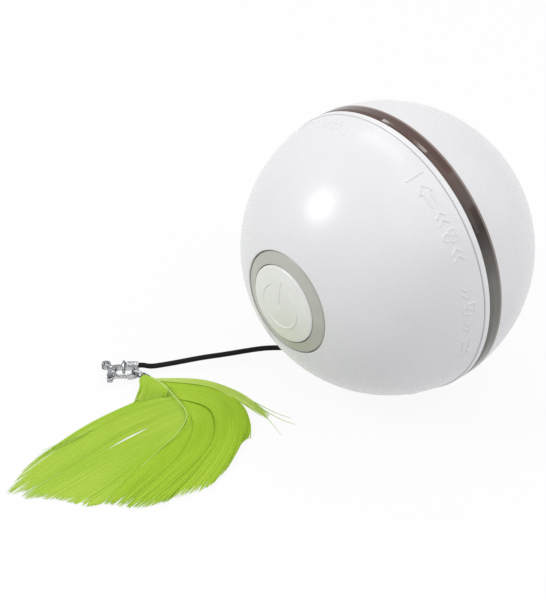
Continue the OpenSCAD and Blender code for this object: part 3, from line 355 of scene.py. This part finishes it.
# %% Put the finishes on
FINISHES = {
    white_abs: "front_shell rear_shell",
    collar_abs: "trim_collar",
    smoky_pc: "light_ring",
    grey_abs: "button_bezel",
    button_abs: "power_button",
    plain_abs: "button_carrier front_bridge switch_cap",
    nylon: "carriage gear_plate board_cover motor_cap switch_body",
    acetal: "drive_gear middle_gear output_wheel output_pinion",
    zinc_steel: "carrier_screws button_spring bridge_screws drive_gear_screws drive_axle plate_screws"
                " motor_can motor_shaft middle_pin output_shaft balance_weight cover_screws charge_port",
    brass: "front_bush axle_bush motor_pinion",
    foil: "battery",
    foam: "battery_pad",
    solder_mask: "circuit_board",
    lamp_resin: "lamps",
    red_wire: "motor_leads",
    black_wire: "battery_leads",
    black_rubber: "tail_grommet tail_knot",
    nickel: "cord_crimp crimp_ring clasp_body clasp_gate clasp_pin feather_ring feather_cap",
}
for finish, names in FINISHES.items():
    for name in names.split():
        nodes[name].data.materials.clear()
        nodes[name].data.materials.append(finish)
print("finished nodes:", sum(len(names.split()) for names in FINISHES.values()))

# %% [markdown]
# ## Lines of wire
# The cord, the raised signs, the spring and the feather's shaft are all round lines. A curve with a
# round bevel is the natural form for them: its centreline says where the piece goes, and its depth how
# thick it is. One function smooths a route, and another makes the curve.

# %% Helpers for round lines
def through(points, t):
    """A smooth line through points, at t from 0 to 1."""
    last = len(points) - 1
    i = min(int(t * last), last - 1)
    s = t * last - i
    a, b, c, d = (Vector(points[min(max(k, 0), last)]) for k in (i - 1, i, i + 1, i + 2))
    return 0.5 * (2 * b + (c - a) * s + (2 * a - 5 * b + 4 * c - d) * s ** 2
                  + (3 * b - a - 3 * c + d) * s ** 3)


def line_piece(name, lines, radius, material, resolution=3):
    """Round wires along lines of points in millimetres, as one curve object."""
    curve = bpy.data.curves.new(name, "CURVE")
    curve.dimensions = "3D"
    curve.bevel_depth = radius * MM
    curve.bevel_resolution = resolution
    curve.use_fill_caps = True
    for points in lines:
        spline = curve.splines.new("POLY")
        spline.points.add(len(points) - 1)
        for target, p in zip(spline.points, points):
            target.co = (p[0] * MM, p[1] * MM, p[2] * MM, 1)
    curve.materials.append(material)
    return put(name, curve)


print("halfway between 0 and 10:", through([(0, 0, 0), (10, 0, 0)], 0.5).x)

# %% [markdown]
# ## The cord's cover
# The cord is an elastic core under a braid of black polyester. The braid is too fine to model, so its
# threads are a bump: cells for the small diamonds of the braid, and a noise for the fuzz on them.

# %% Make the cord's finish
BRAID_WIDE = 0.5
BRAID_DEEP = 0.08
FUZZ_WIDE = 0.25

# Black polyester cover braided over elastic: dull, with small diamonds that are drawn 0.5 mm wide.
cord_cover, tree = blank("braided_polyester")
place = shader(tree, "TexCoord").outputs["Object"]
threads = shader(tree, "TexVoronoi", {"Vector": place, "Scale": 1 / (BRAID_WIDE * MM)})
fuzz = shader(tree, "TexNoise", {"Vector": place, "Scale": 1 / (FUZZ_WIDE * MM), "Detail": 2.0})
tint = shader(tree, "ValToRGB", {"Fac": fuzz.outputs["Fac"]},
              stops=[(0.0, "#040405"), (1.0, "#0d0d0e")])
weave = shader(tree, "Bump", {"Height": threads.outputs["Distance"], "Distance": BRAID_DEEP * MM,
                              "Strength": 0.6})
cover = shader(tree, "BsdfPrincipled", {
    "Base Color": tint.outputs["Color"], "Roughness": 0.62,
    "Normal": weave.outputs["Normal"], "Specular IOR Level": 0.2})
shader(tree, "OutputMaterial", {"Surface": cover.outputs[0]})
print("cord cover:", cord_cover.name)

# %% [markdown]
# ## The cord
# The tail's cord leaves a rubber grommet low on the shell, drops to the floor and runs to its metal
# crimp. The route's points are the same that shape the solid model's tube, so the two lie together.

# %% Lay the cord
CORD_WIDE = 1.4
CORD_STEPS = 60
CORD_ROUTE = [
    (-13.7, -12.9, 11.2), (-15.8, -15, 7.1), (-16.7, -15.9, 5.4), (-18.1, -17.2, 4.2),
    (-22.6, -21.5, 3.5), (-25, -25.1, 3.3), (-28.3, -30.8, 3), (-31.7, -36.3, 2.7),
    (-34.9, -42, 2.3), (-37.3, -45.5, 1.8), (-39.1, -47.8, 1.5), (-40.87, -48.99, 1.4),
    (-41.78, -49.98, 1.4), (-43.36, -51.71, 1.4)]

CORD_POINTS = [through(CORD_ROUTE, k / CORD_STEPS) for k in range(CORD_STEPS + 1)]
cord = line_piece("tail_cord_cover", [CORD_POINTS], CORD_WIDE / 2, cord_cover, resolution=4)
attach(cord, "front_half")
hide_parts("tail_cord")

# %% [markdown]
# ## Bending signs over the shell
# The twist lock is marked by thin raised lines near the rim. On the real moulding they are grooves cut
# in the tool, so they stand up as round ridges. They could be pressed into the mesh, but a round wire
# that is partly sunk looks the same and leaves the shell alone. A sign is drawn flat first, and each of
# its points is then laid on the sphere.

# %% Helpers for the signs
BELT_R = 38.1
SHELL_R = 38.0
SHELL_SET = 0.5
RIDGE_R = 0.36
RIDGE_SUNK = 0.17
SIGN_MID = 8.35
SIGN_STEPS = 6
DEGREE_MM = 0.638


def on_shell(azimuth, height):
    """A point in the front shell's skin: degrees from the top towards +X, height along the axle."""
    r = SHELL_R - RIDGE_SUNK
    across = math.sqrt(r * r - (height + SHELL_SET) ** 2)
    a = math.radians(azimuth)
    return Vector((across * math.sin(a), -height, BELT_R + across * math.cos(a)))


def sign(points, azimuth):
    """Bends a flat sign over the shell. x runs along the rim, y towards the button, in millimetres."""
    bent = []
    for a, b in zip(points, points[1:]):
        for k in range(SIGN_STEPS):
            x, y = (a[i] + (b[i] - a[i]) * k / SIGN_STEPS for i in (0, 1))
            bent.append(on_shell(azimuth + x / DEGREE_MM, SIGN_MID + y))
    bent.append(on_shell(azimuth + points[-1][0] / DEGREE_MM, SIGN_MID + points[-1][1]))
    return bent


def arc(x, y, r, start, end, count=10):
    """Points on a circle's arc in the flat of the sign."""
    turns = [math.radians(start + (end - start) * k / count) for k in range(count + 1)]
    return [(x + r * math.cos(t), y + r * math.sin(t)) for t in turns]


def turned(points):
    """The same sign, pointing the other way along the rim."""
    return [(-x, y) for x, y in points]


def moved(points, x):
    """The same sign, further along the rim."""
    return [(p[0] + x, p[1]) for p in points]


print("ridges stand up by", round(RIDGE_R - RIDGE_SUNK, 2), "mm")

# %% [markdown]
# ## Twist-lock signs
# A bar shows where each turn ends, a hollow arrow points to it, and a padlock between chevrons is open
# or closed. The set comes three times round the shell, once for each lug of the lock, so a loop turns it.

# %% Draw the twist-lock signs
BAR = [(0, -2.6), (0, 2.3)]
ARROW = [(6.2, -0.8), (2.2, -0.8), (2.2, -1.7), (0, 0), (2.2, 1.7), (2.2, 0.8), (6.2, 0.8)]
CHEVRON = [(0.7, -1.4), (-0.7, 0), (0.7, 1.4)]
LOCK_BODY = [(-1.5, -1.6), (1.5, -1.6), (1.5, 0.2), (-1.5, 0.2), (-1.5, -1.6)]
SHACKLE_SHUT = [(-0.9, 0.2), (-0.9, 0.7)] + arc(0, 0.7, 0.9, 180, 0) + [(0.9, 0.2)]
SHACKLE_OPEN = [(-0.9, 0.2), (-0.9, 1.1)] + arc(0, 1.1, 0.9, 180, 0) + [(0.9, 0.9)]
KEYHOLE = [(0, -1.0), (0, -0.4)]
CHEVRONS_AT = (-5.6, -3.8, 3.8, 5.6)
OPEN_BAR_AT, OPEN_ARROW_AT, OPEN_LOCK_AT = 25.8, 29.8, 52
SHUT_LOCK_AT, SHUT_ARROW_AT, SHUT_BAR_AT = 82.3, 106.5, 110.7

signs = []
for third in (0, 120, 240):
    signs += [sign(BAR, third + OPEN_BAR_AT), sign(ARROW, third + OPEN_ARROW_AT)]
    for piece in (LOCK_BODY, SHACKLE_OPEN, KEYHOLE, *(moved(CHEVRON, x) for x in CHEVRONS_AT)):
        signs.append(sign(piece, third + OPEN_LOCK_AT))
    for piece in (LOCK_BODY, SHACKLE_SHUT, KEYHOLE, *(moved(turned(CHEVRON), x) for x in CHEVRONS_AT)):
        signs.append(sign(piece, third + SHUT_LOCK_AT))
    signs += [sign(turned(ARROW), third + SHUT_ARROW_AT), sign(BAR, third + SHUT_BAR_AT)]
lock_signs = line_piece("twist_lock_signs", signs, RIDGE_R, white_abs)
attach(lock_signs, "front_half")
print("sign lines:", len(signs))

# %% [markdown]
# ## Standby sign on the button
# A push button of this kind carries a shallow raised sign. The common standby sign, a broken ring with
# a bar, says what the button does. It follows the dome of the cap, and it rides on the button.

# %% Draw the standby sign
STANDBY_R = 6.0
STANDBY_GAP = 32
STANDBY_SUNK = RIDGE_SUNK * 0.8
RING_STEPS = 40
BAR_FROM, BAR_TO = 1.2, 7.2
BAR_STEPS = 8


def on_button(x, y):
    """A point just under the skin of the button's dome, x to the right and y up as it is faced."""
    r = SHELL_R - STANDBY_SUNK
    return Vector((x, SHELL_SET - math.sqrt(r * r - x * x - y * y), BELT_R + y))


ring = [on_button(*p) for p in arc(0, 0, STANDBY_R, 90 + STANDBY_GAP, 450 - STANDBY_GAP, RING_STEPS)]
bar = [on_button(0, BAR_FROM + (BAR_TO - BAR_FROM) * k / BAR_STEPS) for k in range(BAR_STEPS + 1)]
standby = line_piece("standby_sign", [ring, bar], RIDGE_R, button_abs)
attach(standby, "button")
print("standby ring:", STANDBY_R * 2, "mm across")

# %% [markdown]
# ## Return spring
# Under the button a wound steel spring pushes it back. It is wound on a mandrel from one wire, so a
# helix with a round bevel is its form. It stands on its plate, and the piece is turned into a mesh.

# %% Wind the spring
SPRING_TURNS = 4
TURN_STEPS = 24
SPRING_WIRE = 0.6
COIL_STEPS = SPRING_TURNS * TURN_STEPS
spring_low, spring_high = (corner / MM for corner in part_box("button_spring"))
spring_r = (spring_high.x - spring_low.x - SPRING_WIRE) / 2
spring_long = spring_high.y - spring_low.y
coil = []
for k in range(COIL_STEPS + 1):
    a = math.tau * k / TURN_STEPS
    rise = SPRING_WIRE / 2 + (spring_long - SPRING_WIRE) * k / COIL_STEPS
    coil.append((spring_r * math.cos(a), spring_high.y - rise, BELT_R + spring_r * math.sin(a)))
wound = line_piece("wound_wire", [coil], SPRING_WIRE / 2, zinc_steel)
shape = bpy.data.meshes.new_from_object(wound.evaluated_get(bpy.context.evaluated_depsgraph_get()))
bpy.data.objects.remove(wound)
spring = put("return_spring", shape)
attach(spring, "front_half")
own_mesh(spring)
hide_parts("button_spring")
print("spring:", round(spring_long, 2), "mm long at rest")

# %% [markdown]
# ## The feather's flow
# A feather is a tapered shaft with two vanes, and each vane is a row of fine barbs that cling side by
# side. Dyed goose feathers like this one are curled by steam, so the barbs sweep round and split into
# locks towards their ends. Combing hair would give the barbs, but not their outline. So a few guide
# barbs are listed: each row below is one of them, from the shaft to its tip, in millimetres on
# the floor. All other barbs lie smoothly between these guides.

# %% Lay out the flow of the barbs
LEFT_VANE = [
    [(-33.6, -50.9), (-33.1, -53.4), (-32.3, -56.1), (-31.1, -59.1), (-30.2, -61.3)],
    [(-30.6, -51.4), (-30.2, -54.6), (-30.2, -58.4), (-30.1, -62.9), (-31.1, -67.4)],
    [(-27.3, -50.7), (-28.8, -57.2), (-30.8, -64.9), (-31.7, -77.3), (-30.4, -91.6)],
    [(-24.2, -50.9), (-26.9, -58.7), (-28.7, -69.2), (-27.3, -87.5), (-24.8, -106.3)],
    [(-21.0, -51.8), (-22.8, -60.1), (-24.1, -72.9), (-23.3, -88.1), (-22.3, -102.4)],
    [(-18.0, -53.4), (-19.3, -61.0), (-20.3, -73.3), (-20.2, -89.2), (-20.6, -103.4)],
    [(-16.1, -54.8), (-16.1, -61.6), (-16.2, -73.3), (-16.4, -87.1), (-16.5, -98.8)],
    [(-14.2, -57.4), (-13.5, -65.7), (-12.6, -76.2), (-12.0, -86.7), (-12.4, -95.7)],
    [(-13.2, -60.7), (-11.5, -69.3), (-9.7, -79.1), (-8.4, -87.1), (-8.1, -93.5)],
    [(-11.4, -68.6), (-9.8, -75.0), (-8.4, -80.6), (-7.2, -85.6), (-6.2, -89.6)]]
RIGHT_INNER = [
    [(-13.4, -60.4), (-12.3, -65.6), (-11.0, -72.0), (-9.0, -80.5), (-6.2, -90.0)],
    [(-15.4, -56.0), (-12.4, -60.5), (-9.4, -68.0), (-6.8, -78.5), (-4.4, -88.8)],
    [(-17.6, -53.4), (-12.0, -56.6), (-7.3, -65.6), (-4.6, -76.0), (-2.6, -87.4)],
    [(-19.9, -52.1), (-12.0, -53.8), (-5.3, -63.0), (-2.4, -74.0), (-0.4, -85.8)]]
RIGHT_MIDDLE = [
    [(-18.2, -52.8), (-12.4, -55.4), (-6.2, -64.4), (-3.4, -75.0), (-1.2, -86.4)],
    [(-22.9, -51.2), (-13.9, -49.7), (-4.5, -58.0), (-0.3, -71.4), (1.5, -84.2)],
    [(-25.7, -50.9), (-15.2, -46.8), (-5.6, -52.4), (0.8, -64.7), (4.1, -77.2)]]
RIGHT_OUTER = [
    [(-24.2, -51.0), (-14.6, -48.2), (-5.0, -55.0), (0.0, -67.4), (2.8, -80.4)],
    [(-28.3, -50.7), (-16.7, -43.6), (-6.1, -47.5), (1.4, -57.7), (6.4, -70.7)],
    [(-30.6, -50.7), (-18.2, -42.3), (-7.0, -44.4), (1.3, -52.6), (5.8, -61.5)],
    [(-32.7, -50.7), (-20.1, -41.3), (-8.9, -41.7), (-2.9, -45.6), (0.5, -51.2)],
    [(-34.7, -50.8), (-22.4, -41.4), (-11.6, -40.4), (-4.7, -43.0), (-0.1, -46.7)]]
WISP_LOCK = [
    [(-33.8, -50.8), (-22.6, -42.8), (-14.5, -40.9), (-8.5, -39.8), (-3.0, -38.9)],
    [(-35.0, -50.8), (-25.5, -42.3), (-15.9, -39.2), (-8.6, -38.2), (-2.2, -38.2)],
    [(-35.1, -50.8), (-25.9, -41.9), (-16.2, -37.9), (-8.6, -37.0), (-1.2, -37.0)]]
ROOT_FLAP = [
    [(-36.3, -52.5), (-35.4, -54.7), (-33.4, -56.3), (-31.4, -59.1), (-29.7, -61.6)],
    [(-35.3, -52.0), (-33.3, -54.2), (-31.4, -56.4), (-30.1, -58.8), (-29.1, -60.6)],
    [(-33.7, -51.5), (-31.8, -53.8), (-30.2, -55.7), (-29.1, -57.6), (-28.5, -59.0)],
    [(-31.4, -51.1), (-29.9, -52.9), (-29.0, -54.4), (-28.5, -55.8), (-28.0, -56.9)],
    [(-28.7, -50.9), (-27.7, -52.3), (-27.4, -53.3), (-27.3, -53.8), (-27.3, -54.4)],
    [(-27.0, -51.9), (-26.5, -52.5), (-26.3, -52.9), (-26.2, -53.2), (-26.1, -53.5)]]


def flow(keys, u, t):
    """A point of a vane: u from 0 to 1 across its barbs, t from the shaft to the tips."""
    return through([through([(*p, 0) for p in key], t) for key in keys], u)


print("guide barbs:", sum(len(keys) for keys in (LEFT_VANE, RIGHT_INNER, RIGHT_MIDDLE, RIGHT_OUTER,
                                                 WISP_LOCK, ROOT_FLAP)))

# %% [markdown]
# ## The dyed barbs' finish
# Dyed barbs are keratin threads: half-matt, brighter and more yellow towards the thin tips. Random
# patches of painted shade deepen the green, and painted light pales the root. The streaks follow the
# barb, so they read the vane's own map, where one way runs across the barbs and the other along them.

# %% Make the feather's finishes
STREAKS_ACROSS, STREAKS_ALONG = 60.0, 1.6
PATCHES_ACROSS, PATCHES_ALONG = 4.0, 2.0
DEEPEST_AT = 0.42
FULLEST = 0.6


def barb_finish(name, tones, shade_tone, pale_tone):
    """Dyed barbs: fine streaks of three tones, patches of painted shade, painted light on the root, pale
    tips.
    """
    material, tree = blank(name)
    vane_map = shader(tree, "UVMap", uv_map="barbs").outputs["UV"]
    along = shader(tree, "SeparateXYZ", {"Vector": vane_map}).outputs["Y"]
    fine = shader(tree, "Mapping", {"Vector": vane_map, "Scale": (STREAKS_ACROSS, STREAKS_ALONG, 1.0)})
    streaks = shader(tree, "TexNoise", {"Vector": fine.outputs["Vector"], "Scale": 1.0, "Detail": 4.0})
    tint = shader(tree, "ValToRGB", {"Fac": streaks.outputs["Fac"]},
                  stops=list(zip((0.2, 0.55, 0.85), tones)))
    broad = shader(tree, "Mapping", {"Vector": vane_map, "Scale": (PATCHES_ACROSS, PATCHES_ALONG, 1.0)})
    patches = shader(tree, "TexNoise", {"Vector": broad.outputs["Vector"], "Scale": 1.0, "Detail": 1.0})
    # Painted shade: patches laid at random deepen the green.
    painted_shade_share = shader(tree, "MapRange", {"Value": patches.outputs["Fac"], "From Min": 0.45, "From Max": 0.7,
                                     "To Max": FULLEST})
    with_painted_shade = shader(tree, "Mix", {"Factor": painted_shade_share.outputs["Result"], "A": tint.outputs["Color"],
                                  "B": linear(shade_tone)}, data_type="RGBA")
    # Painted light pales the root, where the barbs tilt away from the lamp; the thin tips are paler too.
    offset = shader(tree, "Math", {0: along, 1: DEEPEST_AT}, operation="SUBTRACT")
    from_deepest = shader(tree, "Math", {0: offset.outputs[0]}, operation="ABSOLUTE")
    pale_tips_and_painted_light = shader(tree, "MapRange", {"Value": from_deepest.outputs[0], "From Min": 0.1, "From Max": 0.5,
                                     "To Max": FULLEST})
    paler = shader(tree, "Mix", {"Factor": pale_tips_and_painted_light.outputs["Result"], "A": with_painted_shade.outputs["Result"],
                                 "B": linear(pale_tone)}, data_type="RGBA")
    barb = shader(tree, "BsdfPrincipled", {"Base Color": paler.outputs["Result"], "Roughness": 0.55,
                                           "Specular IOR Level": 0.25})
    shader(tree, "OutputMaterial", {"Surface": barb.outputs[0]})
    return material


# Goose barbs, dyed yellow-green.
dyed_barbs = barb_finish("dyed_goose_barbs", ("#9dc52e", "#adcf3e", "#c1db5d"), "#98c626", "#bddd54")
# The barbs of the other vane, a deeper green.
deep_barbs = barb_finish("deep_green_barbs", ("#98c21e", "#a9cd2e", "#bbd84c"), "#93c31b", "#b5d940")
# The same dye on thin, open barbs, which let more light through.
thin_barbs = barb_finish("thin_dyed_barbs", ("#b2d34a", "#c1dd60", "#d2e880"), "#b0d346", "#d3e98a")
# The bare shaft: the same keratin, thick and pale.
shaft_horn = skin("pale_shaft_keratin", "#c8e080", "#b9d76a", 0.4, grain=0.5)
# Single barbs that stray from the vane: a thread of the same dyed keratin.
barb_thread = skin("dyed_barb_thread", "#b4d455", "#a5c943", 0.55, grain=0.5)
print("feather finishes:", [m.name for m in (dyed_barbs, deep_barbs, thin_barbs, shaft_horn, barb_thread)])

# %% [markdown]
# ## Making a vane
# A flat grid is a good start: its columns become barbs, they are split apart, and each one is laid
# along the flow. Each barb is a little wider than its share, so that it laps over the next, and it
# narrows towards its tip, where the locks part. A ridge down its middle catches the light, and a thin
# wall closes it. The vane starts part of the way up an arch and comes down to the floor at its tips.

# %% Helpers for the vanes
BARB_STEPS = 24
BARB_WALL = 0.05
BARB_RIDGE = 0.012
BARB_TWIST = 0.008
BARB_LAP = 0.75
TIP_NARROWS = 0.45
LOCK_PULL = 0.25
LONGEST = 1.03
SPLIT_FROM = 0.9
SLIT_FADE = 12
TILT_RUN = 4


def ease(x):
    """Runs smoothly from 0 to 1 while x does."""
    x = min(max(x, 0.0), 1.0)
    return x * x * (3 - 2 * x)


def barb_grid(barbs):
    """A flat grid from -1 to 1, two columns to a barb, split apart between the barbs."""
    form = bmesh.new()
    bmesh.ops.create_grid(form, x_segments=2 * barbs, y_segments=BARB_STEPS, size=1.0)
    seams = [e for e in form.edges
             if not e.is_boundary and abs(e.verts[0].co.x - e.verts[1].co.x) < 1e-6
             and round((e.verts[0].co.x + 1) * barbs) % 2 == 0]
    bmesh.ops.split_edges(form, edges=seams)
    return form


def barb_places(form, barbs):
    """For each vertex its barb, its side from -1 to 1 and its share of the length. Fills the map too."""
    uv = form.loops.layers.uv.new("barbs")
    places = {}
    for face in form.faces:
        k = min(int((face.calc_center_median().x + 1) / 2 * barbs), barbs - 1)
        for loop in face.loops:
            u0, t0 = (loop.vert.co.x + 1) / 2, (loop.vert.co.y + 1) / 2
            loop[uv].uv = (u0, t0)
            places[loop.vert] = (k, (u0 * barbs - k - 0.5) * 2, t0)
    return places


def vane(name, keys, barbs, locks, low, lift, tilt, seed, short=0.05, slits=(), finish=deep_barbs,
         whole=0.0, crest=0.15):
    """Lays barbs along a flow, in locks that part towards their tips.

    Low and lift set the arch's height, and tilt raises the first barbs' side. Short is how much the locks
    differ in length. A slit has a place across the vane, a start, an end and a width. Whole is the share
    of first barbs that don't part, and crest says where along its arch a barb starts.
    """
    dice = random.Random(seed)
    form = barb_grid(barbs)
    ends = sorted(dice.uniform(0, 1) for _ in range(locks - 1)) + [1.0]
    starts = [0.0] + ends[:-1]
    own = [next(i for i, end in enumerate(ends) if (k + 0.5) / barbs <= end) for k in range(barbs)]
    drawn = [dice.uniform(1 - short, 1) for _ in range(locks)]
    reach = [drawn[own[k]] * dice.uniform(1 - short / 3, LONGEST) for k in range(barbs)]
    for vert, (k, side, t0) in barb_places(form, barbs).items():
        parting = ease((t0 - SPLIT_FROM) / (1 - SPLIT_FROM)) * (k >= whole * barbs)
        lock_middle = (starts[own[k]] + ends[own[k]]) / 2
        u = (k + 0.5 + side * (BARB_LAP - TIP_NARROWS * parting)) / barbs
        u += (lock_middle - u) * LOCK_PULL * parting
        for at, start, end, wide in slits:
            opened = math.sin(math.pi * ease((t0 - start) / (end - start)))
            u += math.copysign(wide * opened, k + 0.5 - at * barbs) * math.exp(-abs(u - at) * SLIT_FADE)
        point = flow(keys, min(max(u, 0.0), 1.0), t0 * reach[k])
        arch = math.sin(math.pi * (crest + (1 - crest) * t0))
        tilted = tilt * (1 - u) * ease(t0 * TILT_RUN)
        point.z = low + lift * arch + tilted + BARB_RIDGE * (1 - abs(side)) + BARB_TWIST * side
        vert.co = point * MM
    bmesh.ops.recalc_face_normals(form, faces=form.faces)
    for face in form.faces:
        face.smooth = True
    mesh = bpy.data.meshes.new(name)
    form.to_mesh(mesh)
    form.free()
    mesh.materials.append(finish)
    made = put(name, mesh)
    wall = made.modifiers.new("wall", "SOLIDIFY")
    wall.thickness = BARB_WALL * MM
    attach(made, "front_half")
    return made


print("points along a barb:", BARB_STEPS + 1)

# %% [markdown]
# ## The vanes
# The left vane is one broad sweep with two slits where barbs have parted. The right vane has slipped
# into three layers that lie over each other like tiles. A loose lock strays to the side, and a short
# flap stands up at the root.

# %% Lay the vanes
left = vane("left_vane", LEFT_VANE, barbs=220, locks=30, low=0.25, lift=1.15, tilt=0.35, seed=3,
            finish=dyed_barbs, whole=0.28, crest=0.4,
            slits=[(0.55, 0.27, 0.63, 0.009), (0.28, 0.72, 1.1, 0.004)])
inner = vane("right_vane_inner", RIGHT_INNER, barbs=90, locks=12, low=0.4, lift=1.2, tilt=0.0, seed=5)
middle = vane("right_vane_middle", RIGHT_MIDDLE, barbs=90, locks=12, low=0.5, lift=1.1, tilt=0.35, seed=6)
outer = vane("right_vane_outer", RIGHT_OUTER, barbs=120, locks=14, low=0.5, lift=1.4, tilt=0.35, seed=8)
wisp = vane("wisp_lock", WISP_LOCK, barbs=30, locks=4, low=0.7, lift=1.2, tilt=0.2, seed=7,
            short=0.1, finish=thin_barbs)
flap = vane("root_flap", ROOT_FLAP, barbs=80, locks=9, low=1.64, lift=1.24, tilt=0.0, seed=9,
            short=0.2, finish=dyed_barbs, crest=0.45)
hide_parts("feather_web")
print("barb faces:", [len(o.data.polygons) for o in (left, inner, middle, outer, wisp, flap)])

# %% [markdown]
# ## Shaft and stray barbs
# The shaft is a solid horn that tapers from the cap at its root to a fine end between the vanes. It is
# a curve again, whose points carry their own thickness. A few single barbs have left the vanes, and they
# are thin curves that taper in the same way.

# %% Draw the shaft and the stray barbs
SHAFT = [
    (-35.51, -51.91, 1.9), (-34.51, -51.84, 2.6), (-33.21, -51.75, 3.0), (-31, -51.6, 3.05),
    (-28.5, -51.5, 2.9), (-25.5, -51.8, 2.65), (-22, -52.4, 2.6), (-18.5, -53.3, 2.6),
    (-15.6, -55.1, 2.5), (-13.7, -58.1, 2.4), (-12.3, -61.6, 2.2), (-11.4, -66.5, 1.9),
    (-10.2, -71.5, 1.6), (-9.4, -75.5, 1.4)]
SHAFT_R = 0.4
SHAFT_STEPS = 48
SHAFT_TIP = 0.25
SHAFT_TAPER = 0.35
ROOT_SWELL = 0.4
ROOT_STEPS = 9
STRAY_BARBS = [
    [(-18.1, -39.7), (-11.5, -38.1), (-4.9, -37.3), (0.3, -36.6), (4.2, -35.2)],
    [(-16.5, -39.7), (-10.0, -38.8), (-3.8, -38.9), (0.6, -39.6), (4.7, -40.7)],
    [(-17.1, -39.2), (-11.4, -37.5), (-7.1, -36.7), (-2.7, -35.9), (1.5, -34.4)],
    [(-29.2, -76.0), (-29.2, -79.7), (-29.6, -83.7), (-30.0, -87.5), (-30.2, -91.6)],
    [(-29.0, -75.2), (-29.4, -79.0), (-30.0, -83.0), (-30.5, -86.6), (-30.9, -90.0)],
    [(-28.9, -76.8), (-28.9, -80.6), (-29.2, -84.6), (-29.6, -88.6), (-29.7, -93.0)]]
STRAY_HIGH = 1.4
STRAY_R = 0.16
STRAY_STEPS = 16
STRAY_TAPER = 0.7

shaft_points = [through(SHAFT, k / SHAFT_STEPS) for k in range(SHAFT_STEPS + 1)]
shaft = line_piece("feather_shaft", [shaft_points], SHAFT_R, shaft_horn)
for k, point in enumerate(shaft.data.splines[0].points):
    swell = ROOT_SWELL * max(0.0, 1 - k / ROOT_STEPS)
    point.radius = SHAFT_TIP + SHAFT_TAPER * (1 - k / SHAFT_STEPS) + swell
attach(shaft, "front_half")
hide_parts("feather_quill")

stray_lines = [[through([(*p, STRAY_HIGH) for p in barb], k / STRAY_STEPS) for k in range(STRAY_STEPS + 1)]
               for barb in STRAY_BARBS]
strays = line_piece("stray_barbs", stray_lines, STRAY_R, barb_thread, resolution=1)
for spline in strays.data.splines:
    for k, point in enumerate(spline.points):
        point.radius = 1 - STRAY_TAPER * k / STRAY_STEPS
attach(strays, "front_half")
print("shaft points:", len(shaft_points), "stray barbs:", len(stray_lines))
